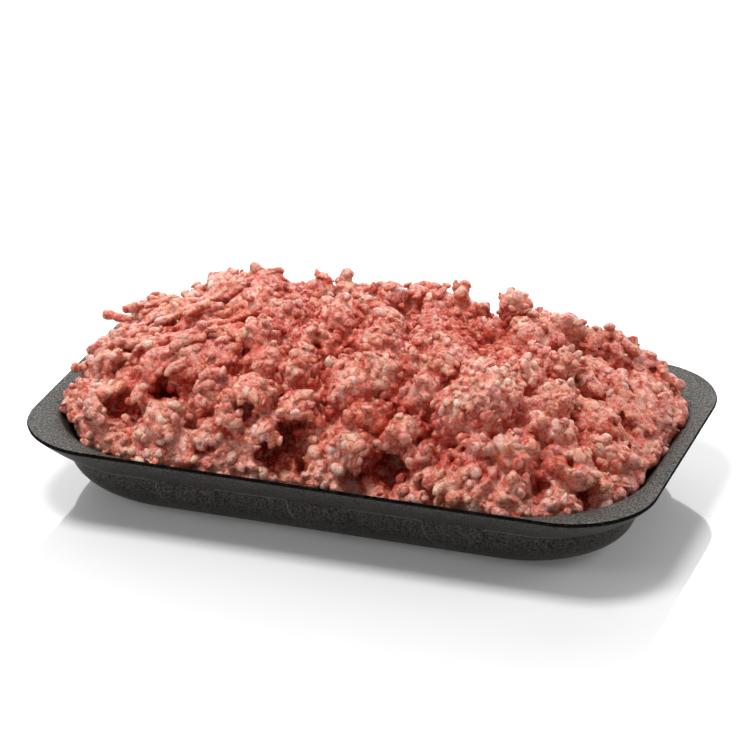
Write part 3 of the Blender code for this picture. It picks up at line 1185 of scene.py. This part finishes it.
ROPES: tuple[Rope, ...] = (
    Rope(Spot(37, 31, 61, 3.6, -1.0), Spot(37, 33, 65, 2.6, 2.6)),
    Rope(Spot(77, 5, 50, 4.4, 2.6), Spot(101, 2, 35, 4.0, 2.4)),
    Rope(Spot(96, 10, 41, 3.6, 1.8), Spot(104, 12, 28, 3.4, 1.8)),
    Rope(Spot(103, -3, 32, 3.2, 1.8), Spot(104, -9, 27, 3.0, 1.8)),
    Rope(Spot(71, -36, 50, 4.0, 2.4), Spot(87, -34, 42, 3.6, 2.0)),
    Rope(Spot(-62, -52, 44, 3.6, 2.2), Spot(-50, -50, 48, 3.4, 2.0)),
    Rope(Spot(-88, -10, 52, 4.2, 1.4), Spot(-94, -34, 46, 4.0, 1.4)),
    Rope(Spot(28, -10, 63, 4.0, 2.0), Spot(34, -22, 61, 3.8, 2.0)),
    Rope(Spot(-76, 2, 56, 4.0, 1.6), Spot(-58, 12, 62, 4.0, 1.6)),
    Rope(Spot(58, 8, 57, 4.0, 2.0), Spot(72, 2, 53, 3.8, 2.0)),
)


@dataclass
class MinceHeap:
    """The heap of coarse mince: a core of clumps, and the strands and crumbs that cover it."""

    tray: bpy.types.Object
    seed: int = 11
    form_voxel: float = 2.0 * MM
    clump_voxel: float = 1.1 * MM
    relief_voxel: float = 0.5 * MM
    core_depth: float = 8.0 * MM
    clump_spacing: float = 13.0 * MM
    clump_radius: tuple[float, float] = (6.5 * MM, 10.5 * MM)
    crease_width: float = 2.2 * MM
    crease_depth: float = 4.6 * MM
    nodule_spacing: float = 7.0 * MM
    nodule_radius: tuple[float, float] = (2.2 * MM, 3.6 * MM)
    nodule_voxel: float = 0.95 * MM
    crumb_room: float = 2.4 * MM
    hollow_depth: float = 2.3
    stray: Spot = Spot(-102, 16, 40.6, 1.7)
    core_parts: tuple[str, ...] = ("left", "middle", "right")
    part_triangles: int = 185000

    def __post_init__(self) -> None:
        """Take the heap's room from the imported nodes, and start the random draws."""
        self.rim_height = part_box("tray")[1].z
        self.wall = InnerWall(self.tray)
        self.rng = np.random.default_rng(self.seed)
        self.bench = Workbench()
        self.clumps: list[tuple[np.ndarray, float, int]] = []

    def smooth_form(self) -> bpy.types.Object:
        """The heap's solid without its facets."""
        node = frame["nodes"]["mince"]
        form = bpy.data.objects.new("mince_form", node.data.copy())
        bpy.context.scene.collection.objects.link(form)
        with editing(form):
            bpy.ops.mesh.select_all(action="SELECT")
            bpy.ops.mesh.remove_doubles(threshold=1e-5)
        apply_modifier(form, "REMESH", mode="VOXEL", voxel_size=self.form_voxel)
        apply_modifier(form, "SMOOTH", factor=0.5, iterations=12)
        return form

    def clump_core(self, form: bpy.types.Object) -> bpy.types.Object:
        """Clumps of mince set side by side over the smooth form, grown together.

        Args:
            form: The smooth form, which becomes the core.

        Returns:
            The core.
        """
        shapes = [self.bench.crumb(seed, 3, 0.16) for seed in range(40, 46)]
        shown = self.envelope.where(self.envelope.places[:, 2] > self.rim_height - 4 * MM)
        tree = shown.tree()
        crowd = Crowd()
        groups = [[lump] for lump in LUMPS] + [rope.spots() for rope in ROPES]
        room = np.ones(len(shown.places), bool)
        for number, group in enumerate(groups):
            for spot in group:
                index = tree.find(spot.centre())[1]
                radius = spot.radius()
                centre = shown.places[index] - shown.normals[index] * (radius + self.crumb_room - spot.rise * MM)
                self.clumps.append((centre, radius, number))
                crowd.add(shapes[self.rng.integers(len(shapes))], centre, self.loose_axes(shown.normals[index]),
                          radius * self.rng.uniform(0.92, 1.08, 3), np.zeros(3))
                room &= np.linalg.norm(shown.places - spot.centre(), axis=1) > spot.radius() + 4.5 * MM
        for spot in HOLLOWS:
            room &= np.linalg.norm(shown.places - spot.centre(), axis=1) > spot.radius() + 2.0 * MM
        free = shown.where(room)
        apart = np.full(len(free.places), self.clump_spacing / 2)
        for number, index in enumerate(spaced_choice(free.places, apart, self.rng), len(groups)):
            radius = self.rng.uniform(*self.clump_radius)
            rise = self.rng.normal(-0.6 * MM, 1.2 * MM)
            if free.places[index][2] < self.rim_height + 8 * MM:
                rise = 0.8 * MM
            centre = free.places[index] - free.normals[index] * (radius + self.crumb_room - rise)
            size = radius * self.rng.uniform(0.85, 1.15, 3)
            self.clumps.append((centre, radius, number))
            crowd.add(shapes[self.rng.integers(len(shapes))], centre, self.loose_axes(free.normals[index]),
                      size, np.zeros(3))
        self.clump_tree = Surface(*[np.array([clump[0] for clump in self.clumps])] * 2).tree()
        self.shrink(form)
        core = self.grow_together(form, crowd.piece("mince_clumps"), self.clump_voxel)
        self.press_creases(core.data)
        self.press_hollows(core.data)
        return self.add_nodules(core)

    def add_nodules(self, core: bpy.types.Object) -> bpy.types.Object:
        """Knobs of mince, between a clump and a crumb in size, all over the clumps.

        Args:
            core: The core of clumps.

        Returns:
            The core.
        """
        shapes = [self.bench.crumb(seed, 2, 0.2) for seed in range(50, 56)]
        surface = Surface.of(core.data)
        shown = surface.where(surface.places[:, 2] > self.rim_height - 5 * MM)
        shown = shown.where(self.rng.random(len(shown.places)) < 0.3)
        crowd = Crowd()
        room = np.full(len(shown.places), self.nodule_spacing / 2)
        for index in spaced_choice(shown.places, room, self.rng):
            here = shown.places[index]
            if self.depth_shade(here) > 0.35 or self.rng.random() < 0.7 * self.combed(here[None])[0]:
                continue
            if self.crease_share(here) > 0.3:
                continue
            radius = self.rng.uniform(*self.nodule_radius)
            place = here + shown.normals[index] * self.rng.uniform(-2.1, -0.3) * MM
            crowd.add(shapes[self.rng.integers(len(shapes))], place, self.loose_axes(shown.normals[index]),
                      radius * np.array([self.rng.uniform(1.0, 1.4), 1.0, 0.9]), np.zeros(3))
        return self.grow_together(core, crowd.piece("mince_nodules", 0.8 * MM, 9 * MM), self.nodule_voxel)

    def shrink(self, form: bpy.types.Object) -> None:
        """Draw the form in, deep under the open surface and a little where the tray holds it."""
        group = form.vertex_groups.new(name="open")
        for vertex in form.data.vertices:
            share = (vertex.co.z - self.rim_height) / (16 * MM)
            group.add([vertex.index], min(max(share, 0.12), 1.0), "REPLACE")
        apply_modifier(form, "DISPLACE", strength=-self.core_depth, mid_level=0.0, vertex_group="open")

    def smooth_normal(self, place: np.ndarray) -> np.ndarray:
        """Normal of the heap's smooth form nearest to a place."""
        return self.envelope.normals[self.outside.find(place)[1]]

    def crease_share(self, place: np.ndarray) -> float:
        """How near a place lies to a crease between two clumps, from 0 to 1."""
        gaps = []
        for _, index, distance in self.clump_tree.find_n(place, 7):
            gaps.append((distance - self.clumps[index][1], self.clumps[index][2]))
        gaps.sort()
        for gap, group in gaps[1:]:
            if group != gaps[0][1]:
                return math.exp(-((gap - gaps[0][0]) / self.crease_width) ** 2)
        return 0.0

    def press_creases(self, mesh: bpy.types.Mesh) -> None:
        """Deepen the creases where one clump meets the next.

        Args:
            mesh: The core's mesh.
        """
        places, _ = mesh_arrays(mesh)
        strength = np.clip(0.7 + 0.6 * smooth_waves(places, 24 * MM, 19), 0, 1)
        for index in np.nonzero(places[:, 2] > self.rim_height)[0]:
            share = self.crease_share(places[index]) * strength[index]
            if share > 0.02:
                places[index] -= self.smooth_normal(places[index]) * (share * self.crease_depth)
        mesh.vertices.foreach_set("co", places.astype(np.float32).ravel())
        mesh.update()

    def press_hollows(self, mesh: bpy.types.Mesh) -> None:
        """Press the deep gaps between the clumps into the core.

        Args:
            mesh: The core's mesh.
        """
        places, _ = mesh_arrays(mesh)
        for spot in HOLLOWS:
            centre, index, _ = self.outside.find(spot.centre())
            away = np.linalg.norm(places - np.array(centre), axis=1)
            near = away < 2.5 * spot.radius()
            away[near] *= 1.0 + 0.4 * smooth_waves(places[near], 9 * MM, 12)
            share = np.clip(2.9 - 2.0 * away / spot.radius(), 0, 1)
            share = share * share * (3 - 2 * share)
            places -= self.envelope.normals[index] * (share * spot.radius() * self.hollow_depth)[:, None]
        mesh.vertices.foreach_set("co", places.astype(np.float32).ravel())
        mesh.update()

    def grow_together(self, first: bpy.types.Object, second: bpy.types.Object, voxel: float) -> bpy.types.Object:
        """Join two objects and remesh them into one closed skin.

        Args:
            first: The object that stays.
            second: The object that joins it.
            voxel: Size of the skin's cells.

        Returns:
            The first object.
        """
        make_active(first)
        second.select_set(True)
        bpy.ops.object.join()
        apply_modifier(first, "REMESH", mode="VOXEL", voxel_size=voxel)
        return first

    def loose_axes(self, normal: np.ndarray, along: np.ndarray | None = None, tilt: float = 0.35) -> np.ndarray:
        """Directions of a piece that lies on a surface.

        Args:
            normal: The surface's normal.
            along: Direction that the piece's long side follows, or None for any.
            tilt: How far the piece leans from the surface and from that direction.

        Returns:
            The piece's X, Y and Z directions, as rows.
        """
        lean = normal + self.rng.normal(0, tilt, 3)
        lean /= np.linalg.norm(lean)
        if along is None:
            along = self.rng.normal(size=3)
        else:
            along = along + self.rng.normal(0, tilt, 3)
        side = np.cross(lean, along)
        side /= np.linalg.norm(side) + 1e-12
        return np.stack([np.cross(side, lean), side, lean])

    def tone_field(self, place: np.ndarray) -> float:
        """How pale the mince is around a place, from about -1 to 1."""
        return float(smooth_waves(place[None], 32 * MM, 77)[0])

    def tint(self, kind: Kind, place: np.ndarray) -> np.ndarray:
        """The tone, share of fat and random value of one piece.

        Args:
            kind: What the piece is.
            place: Where it lies.

        Returns:
            Its tint.
        """
        tones = {Kind.STRAND: 0.60, Kind.LEAN: 0.58, Kind.PINK: 0.69, Kind.FAT: 0.82, Kind.BIT: 0.67}
        fats = {Kind.STRAND: 0.18, Kind.LEAN: 0.15, Kind.PINK: 0.30, Kind.FAT: 0.60, Kind.BIT: 0.36}
        shade = self.depth_shade(place)
        # Pieces deep in hollows get a lower tone and less fat: painted shade.
        tone = (tones[kind] + self.rng.normal(0, 0.06) + 0.05 * self.tone_field(place)) * (1 - 0.62 * shade)
        fat = (fats[kind] + self.rng.normal(0, 0.08)) * (1 - 0.9 * shade)
        return np.array([np.clip(tone, 0.05, 1.0), np.clip(fat, 0.0, 1.0), self.rng.random()])

    def depth_shade(self, place: np.ndarray) -> float:
        """How deep a place lies under the heap's smooth form, from 0 to 1; pieces there get that much painted shade."""
        near, index, _ = self.outside.find(place)
        depth = float((np.array(near) - place) @ self.envelope.normals[index])
        return min(max((depth - 3.0 * MM) / (7 * MM), 0.0), 1.0)

    def choose_kind(self, place: np.ndarray) -> Kind:
        """Draw what a crumb is: some parts of the heap hold more fat than others."""
        paleness = 0.5 + 0.5 * self.tone_field(place)
        draw = self.rng.random()
        if draw < 0.05 + 0.08 * paleness:
            return Kind.FAT
        if draw < 0.50 + 0.12 * paleness:
            return Kind.PINK
        return Kind.LEAN

    def combed(self, places: np.ndarray) -> np.ndarray:
        """How far the mince lies in strands at each place, from 0 to 1: most at the left and right."""
        left = np.clip((-38 * MM - places[:, 0]) / (14 * MM), 0, 1) * np.clip((places[:, 2] - 44 * MM) / (8 * MM), 0, 1)
        left *= np.clip((20 * MM - places[:, 1]) / (10 * MM), 0, 1)
        right = np.clip((places[:, 0] - 72 * MM) / (14 * MM), 0, 1) * np.clip((places[:, 1] + 22 * MM) / (12 * MM), 0, 1)
        return np.maximum(left, 0.8 * right)

    def downhill(self, normal: np.ndarray, place: np.ndarray) -> np.ndarray:
        """Direction in which a strand lies: down the slope at the ends, any way in the middle.

        Args:
            normal: The surface's normal there.
            place: The place.

        Returns:
            A unit direction along the surface.
        """
        wander = 0.7 * smooth_waves(place[None], 40 * MM, 31)[0]
        side = math.copysign(1.0, place[0])
        along = np.array([side * math.cos(wander), math.sin(wander) - 0.45, 0.0])
        along = along - normal * (along @ normal)
        return along / (np.linalg.norm(along) + 1e-9)

    def relief_core(self, core: bpy.types.Object) -> bpy.types.Object:
        """Sink a first layer of crumbs into the core, and tint the skin by them.

        Args:
            core: The core of clumps.

        Returns:
            The core's piece.
        """
        crumbs = [self.bench.crumb(seed, 2, 0.16) for seed in range(60, 68)]
        strands = [self.bench.strand(seed, 7, 8) for seed in range(70, 78)]
        surface = Surface.of(core.data)
        shown = surface.where(surface.places[:, 2] > self.rim_height - 7 * MM)
        combed = self.combed(shown.places)
        crowd = Crowd()
        centres = []
        tints = []
        radii = []
        sizes = self.grain_sizes(shown.places, 1.45, 1.15)
        merged = np.clip(0.1 + 0.45 * smooth_waves(shown.places, 20 * MM, 53), 0, 0.5)
        for index in spaced_choice(shown.places, 0.86 * sizes, self.rng):
            if self.rng.random() < 0.75 * combed[index] or self.crease_share(shown.places[index]) > 0.8:
                continue
            radius = sizes[index]
            lift = self.rng.uniform(-0.35, 0.25) - merged[index]
            place = shown.places[index] + shown.normals[index] * radius * lift
            size = radius * np.array([self.rng.uniform(1.0, 1.25), 1.0, 0.95])
            tint = self.tint(self.choose_kind(place), place)
            crowd.add(crumbs[self.rng.integers(len(crumbs))], place, self.loose_axes(shown.normals[index]), size, tint)
            centres.append(place)
            tints.append(tint)
            radii.append(radius)
        zone = shown.where(combed > 0.3)
        room = np.full(len(zone.places), 2.3 * MM)
        for index in spaced_choice(zone.places, room, self.rng):
            normal = self.smooth_normal(zone.places[index])
            radius = self.rng.uniform(1.7, 2.5) * MM
            place = zone.places[index] + normal * self.rng.uniform(-0.9, 0.5) * MM
            axes = self.loose_axes(normal, self.downhill(normal, zone.places[index]), 0.08)
            size = radius * np.array([self.rng.uniform(0.7, 1.2), 1.0, 0.75])
            tint = self.tint(Kind.STRAND, place)
            crowd.add(strands[self.rng.integers(len(strands))], place, axes, size, tint)
            for step in (-1.8, 0.0, 1.8):
                centres.append(place + axes[0] * step * radius)
                tints.append(tint)
                radii.append(radius)
        relief = crowd.piece("mince_relief", 0.4 * MM, 5 * MM, self.wall)
        LOG.info("%d crumbs and strands are sunk into the core", crowd.copies)
        core = self.grow_together(core, relief, self.relief_voxel)
        apply_modifier(core, "SMOOTH", factor=0.2, iterations=1)
        self.thin(core)
        clear = self.wall.push_clear(mesh_arrays(core.data)[0])
        core.data.vertices.foreach_set("co", clear.astype(np.float32).ravel())
        core.data.update()
        self.tint_skin(core.data, np.array(centres), np.array(tints), np.array(radii))
        core.data.polygons.foreach_set("use_smooth", np.ones(len(core.data.polygons), bool))
        return core

    def grain_sizes(self, places: np.ndarray, least: float, range_: float) -> np.ndarray:
        """Radii of grains at places: smaller on the ball, larger along the foot on the right.

        Args:
            places: Where the grains lie.
            least: The least radius in millimetres.
            range_: How much more the largest has.

        Returns:
            A radius in metres for each place.
        """
        sizes = least + range_ * self.rng.random(len(places)) ** 1.4
        ball = np.linalg.norm(places - np.array((49, -38, 57)) * MM, axis=1) / (15 * MM)
        foot = np.clip((places[:, 0] + 10 * MM) / (60 * MM), 0, 1) * np.clip((-20 * MM - places[:, 1]) / (25 * MM), 0, 1)
        return sizes * (1 - 0.3 * np.exp(-ball ** 2)) * (1 + 0.25 * foot) * MM

    def thin(self, core: bpy.types.Object) -> None:
        """Thin the core's skin: strongly where the tray hides it, elsewhere only down to its limit.

        Args:
            core: The core.
        """
        places, _ = mesh_arrays(core.data)
        hidden = np.nonzero(places[:, 2] < self.rim_height - 6 * MM)[0]
        group = core.vertex_groups.new(name="hidden")
        group.add(hidden.tolist(), 1.0, "REPLACE")
        share = len(hidden) / len(places)
        apply_modifier(core, "DECIMATE", ratio=1 - 0.92 * share, vertex_group="hidden")
        core.data.calc_loop_triangles()
        triangles = len(core.data.loop_triangles)
        LOG.info("the skin of the core has %d triangles", triangles)
        limit = self.part_triangles * len(self.core_parts)
        if triangles > limit:
            apply_modifier(core, "DECIMATE", ratio=limit / triangles)

    def split(self, core: bpy.types.Object) -> list[bpy.types.Object]:
        """Cut the core across into closed pieces with as many triangles each.

        Args:
            core: The core.

        Returns:
            The pieces, from the left to the right.
        """
        middles = np.empty(len(core.data.polygons) * 3, np.float32)
        core.data.polygons.foreach_get("center", middles)
        count = len(self.core_parts)
        cuts = np.quantile(middles[::3], [number / count for number in range(1, count)])
        pieces = []
        for number, name in enumerate(self.core_parts):
            piece = bpy.data.objects.new("mince_core_" + name, core.data.copy())
            bpy.context.scene.collection.objects.link(piece)
            with editing(piece):
                if number > 0:
                    self.cut_off(float(cuts[number - 1]), {"clear_inner": True})
                if number < count - 1:
                    self.cut_off(float(cuts[number]), {"clear_outer": True})
            pieces.append(piece)
        bpy.data.objects.remove(core, do_unlink=True)
        return pieces

    def cut_off(self, x: float, side: dict[str, bool]) -> None:
        """Cut off and close the mesh in edit mode at a plane across X.

        Args:
            x: Place of the plane.
            side: Which side of it goes.
        """
        bpy.ops.mesh.select_all(action="SELECT")
        bpy.ops.mesh.bisect(plane_co=(x, 0, 0), plane_no=(1, 0, 0), threshold=1e-7, **side)
        bpy.ops.mesh.fill(use_beauty=False)
        bpy.ops.mesh.mark_sharp()

    def tint_skin(self, mesh: bpy.types.Mesh, centres: np.ndarray, tints: np.ndarray, radii: np.ndarray) -> None:
        """Tint each point of the skin like the crumb nearest to it, and give its creases a deeper red as painted shade.

        Args:
            mesh: The skin.
            centres: Centres of the crumbs in it.
            tints: Their tints.
            radii: Their radii.
        """
        places, _ = mesh_arrays(mesh)
        crumbs = Surface(centres, centres).tree()
        nearest = np.empty(len(places), int)
        away = np.empty(len(places))
        for index, place in enumerate(places):
            _, nearest[index], away[index] = crumbs.find(place)
        outside = np.clip((away / radii[nearest] - 0.8) / 0.5, 0, 1)[:, None]
        matrix = np.empty((len(places), 3))
        matrix[:, 0] = 0.58 + 0.08 * smooth_waves(places, 9 * MM, 41)
        matrix[:, 1] = 0.2
        matrix[:, 2] = tints[nearest][:, 2]
        result = tints[nearest] * (1 - outside) + matrix * outside
        # A deeper red where crumb meets matrix: painted shade in the fold.
        result[:, 0] -= 0.11 * np.sin(np.pi * outside[:, 0])
        for old in list(mesh.attributes):
            if old.name == "tint":
                mesh.attributes.remove(old)
        paint_tint(mesh, result)

    def cover(self, core: bpy.types.Object) -> dict[Kind, Crowd]:
        """Lay strands, crumbs and bits over the core.

        Args:
            core: The core's piece.

        Returns:
            The pieces of each kind.
        """
        surface = Surface.of(core.data)
        shown = surface.where(surface.places[:, 2] > self.rim_height - 5 * MM)
        crowds = {kind: Crowd() for kind in Kind}
        self.lay_strands(shown, crowds[Kind.STRAND])
        self.lay_crumbs(shown, crowds)
        self.lay_bits(shown, crowds[Kind.BIT])
        return crowds

    def lay_strands(self, shown: Surface, crowd: Crowd) -> None:
        """Lay a few loose strands over the combed slopes and elsewhere.

        Args:
            shown: The surface to lay them on.
            crowd: Where the strands are gathered.
        """
        shapes = [self.bench.strand(seed, 8, 8) for seed in range(20, 32)]
        crowd.add(shapes[0], self.stray.centre(), self.loose_axes(np.array((0.0, 0.0, 1.0)),
                                                                    np.array((-1.0, 0.0, 0.22)), 0.0),
                  np.array((1.5, 1.0, 1.0)) * self.stray.radius(), np.array((0.5, 0.15, 0.3)), 0.2)
        zone = shown.where(self.combed(shown.places) > 0.4)
        room = np.full(len(zone.places), 4.2 * MM)
        for index in spaced_choice(zone.places, room, self.rng):
            place = zone.places[index]
            normal = self.smooth_normal(place)
            radius = self.rng.uniform(1.5, 2.2) * MM
            size = radius * np.array([self.rng.uniform(0.6, 0.95), 1.0, 0.8])
            crowd.add(shapes[self.rng.integers(len(shapes))], place + normal * self.rng.uniform(-1.5, -0.7) * MM,
                      self.loose_axes(normal, self.downhill(normal, place), 0.06), size,
                      self.tint(Kind.STRAND, place), 0.14)

    def lay_crumbs(self, shown: Surface, crowds: dict[Kind, Crowd]) -> None:
        """Lay lean, pink and fat crumbs all over.

        Args:
            shown: The surface to lay them on.
            crowds: Where the crumbs of each kind are gathered.
        """
        large = [self.bench.crumb(seed, 2, 0.1) for seed in range(80, 88)]
        small = [self.bench.grain(seed, 0.12) for seed in range(92, 104)]
        shown = shown.where(self.rng.random(len(shown.places)) < 0.7)
        combed = self.combed(shown.places)
        looseness = 1.3 + 0.35 * smooth_waves(shown.places, 14 * MM, 5) + 1.2 * combed
        sizes = self.grain_sizes(shown.places, 1.3, 1.15)
        for index in spaced_choice(shown.places, looseness * sizes, self.rng):
            place = shown.places[index]
            normal = shown.normals[index]
            if self.crease_share(place) > 0.8:
                continue
            kind = self.choose_kind(place)
            radius = sizes[index]
            shapes = large if radius > 1.5 * MM else small
            size = radius * np.array([self.rng.uniform(1.0, 1.25), 1.0, self.rng.uniform(0.9, 1.0)])
            place = place + normal * radius * self.rng.uniform(-0.5, 0.1)
            crowds[kind].add(shapes[self.rng.integers(len(shapes))], place, self.loose_axes(normal, None, 0.3),
                             size, self.tint(kind, place), 0.14)

    def lay_bits(self, shown: Surface, crowd: Crowd) -> None:
        """Scatter fine bits over the crumbs.

        Args:
            shown: The surface to lay them on.
            crowd: Where the bits are gathered.
        """
        shapes = [self.bench.grain(seed, 0.2) for seed in range(110, 116)]
        room = np.full(len(shown.places), 3.4 * MM)
        for index in spaced_choice(shown.places, room, self.rng):
            place = shown.places[index]
            normal = shown.normals[index]
            size = self.rng.uniform(0.5, 0.9) * MM * np.array([self.rng.uniform(1.0, 1.8), 1.0, 0.8])
            crowd.add(shapes[self.rng.integers(len(shapes))], place + normal * self.rng.uniform(-0.2, 0.5) * MM,
                      self.loose_axes(normal, None, 0.6), size, self.tint(Kind.BIT, place), 0.1)

    def dress(self, piece: bpy.types.Object, material: bpy.types.Material) -> None:
        """Give a piece its material, and let it stand for the heap's solid.

        Args:
            piece: The piece.
            material: Its material.
        """
        piece.data.materials.clear()
        piece.data.materials.append(material)
        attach(piece, BODY)
        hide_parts("mince")

    def build(self) -> list[bpy.types.Object]:
        """Model and dress the heap.

        Returns:
            Its pieces.
        """
        form = self.smooth_form()
        self.envelope = Surface.of(form.data)
        self.outside = self.envelope.tree()
        core = self.clump_core(form)
        core = self.relief_core(core)
        crowds = self.cover(core)
        pieces = self.split(core)
        material = MeatFinish("mince_core").material()
        for piece in pieces:
            self.dress(piece, material)
        for kind, crowd in crowds.items():
            piece = crowd.piece("mince_" + kind.value, 0.35 * MM, 3.2 * MM, self.wall)
            self.dress(piece, MeatFinish("mince_" + kind.value).material())
            LOG.info("%s: %d copies", piece.name, crowd.copies)
            pieces.append(piece)
        return pieces


# ---------------------------------------------------------------- studio

@dataclass
class Studio:
    """The table, the soft lights and the camera."""

    azimuth: float = 18.80
    elevation: float = 24.26
    distance: float = 1.399
    focal_length: float = 188.5
    aim: tuple[float, float, float] = (-7.7 * MM, 24.4 * MM, 27.5 * MM)
    table_size: float = 8.0
    surround: float = 0.21
    finish: TableFinish = field(default_factory=TableFinish)

    def lay_table(self) -> None:
        """Make the pale table top."""
        bpy.ops.mesh.primitive_plane_add(size=self.table_size)
        table = bpy.context.active_object
        table.name = "table_top"
        table.data.materials.append(self.finish.material())

    def hang_light(self, name: str, place: tuple[float, float, float], size: tuple[float, float],
                   brightness: float) -> None:
        """Hang a soft rectangular light that faces the tray.

        Args:
            name: The light's name.
            place: Where it hangs.
            size: Its width and height.
            brightness: Radiance of its face.
        """
        data = bpy.data.lights.new(name, "AREA")
        data.shape = "RECTANGLE"
        data.size = size[0]
        data.size_y = size[1]
        data.energy = brightness * math.pi * size[0] * size[1]
        light = bpy.data.objects.new(name, data)
        light.location = place
        light.rotation_euler = (Vector((0, 0, 0.03)) - light.location).to_track_quat("-Z", "Y").to_euler()
        bpy.context.scene.collection.objects.link(light)

    def light(self) -> None:
        """Light the pack softly from above, with a fill in front and a bright wall behind."""
        world = bpy.data.worlds.new("surround")
        world.use_nodes = True
        shade = world.node_tree.nodes["Background"]
        shade.inputs["Color"].default_value = (1.0, 1.0, 1.0, 1.0)
        shade.inputs["Strength"].default_value = self.surround
        bpy.context.scene.world = world
        self.hang_light("overhead_softbox", (-0.22, -0.05, 1.0), (0.36, 0.36), 22.2)
        self.hang_light("front_softbox", (-1.1, -0.9, 0.75), (0.7, 0.7), 3.7)
        self.hang_light("back_wall", (-0.65, 1.9, 0.95), (3.0, 1.5), 2.6)
        self.hang_light("side_softbox", (1.3, 0.45, 0.75), (0.9, 0.9), 3.2)
        bpy.context.scene.view_settings.view_transform = "Standard"

    def place_camera(self) -> None:
        """Stand the camera before the pack, a little to its right and above it."""
        azimuth = math.radians(self.azimuth)
        elevation = math.radians(self.elevation)
        back = Vector((math.sin(azimuth) * math.cos(elevation), -math.cos(azimuth) * math.cos(elevation),
                       math.sin(elevation)))
        data = bpy.data.cameras.new("camera")
        data.lens = self.focal_length
        data.sensor_width = 36.0
        data.clip_start = 0.05
        camera = bpy.data.objects.new("camera", data)
        camera.location = Vector(self.aim) + back * self.distance
        camera.rotation_euler = back.to_track_quat("Z", "Y").to_euler()
        bpy.context.scene.collection.objects.link(camera)
        bpy.context.scene.camera = camera

    def build(self) -> None:
        """Set the table, the lights and the camera."""
        self.lay_table()
        self.light()
        self.place_camera()


def main() -> None:
    """Build the pack and its studio."""
    logging.basicConfig(level=logging.INFO, format="%(name)s: %(message)s", force=True)
    deselect_everything()
    tray = FoamTray().build()
    LOG.info("%s: %d faces", tray.name, len(tray.data.polygons))
    for piece in MinceHeap(tray).build():
        LOG.info("%s: %d faces", piece.name, len(piece.data.polygons))
    Studio().build()


if __name__ == "__main__":
    main()
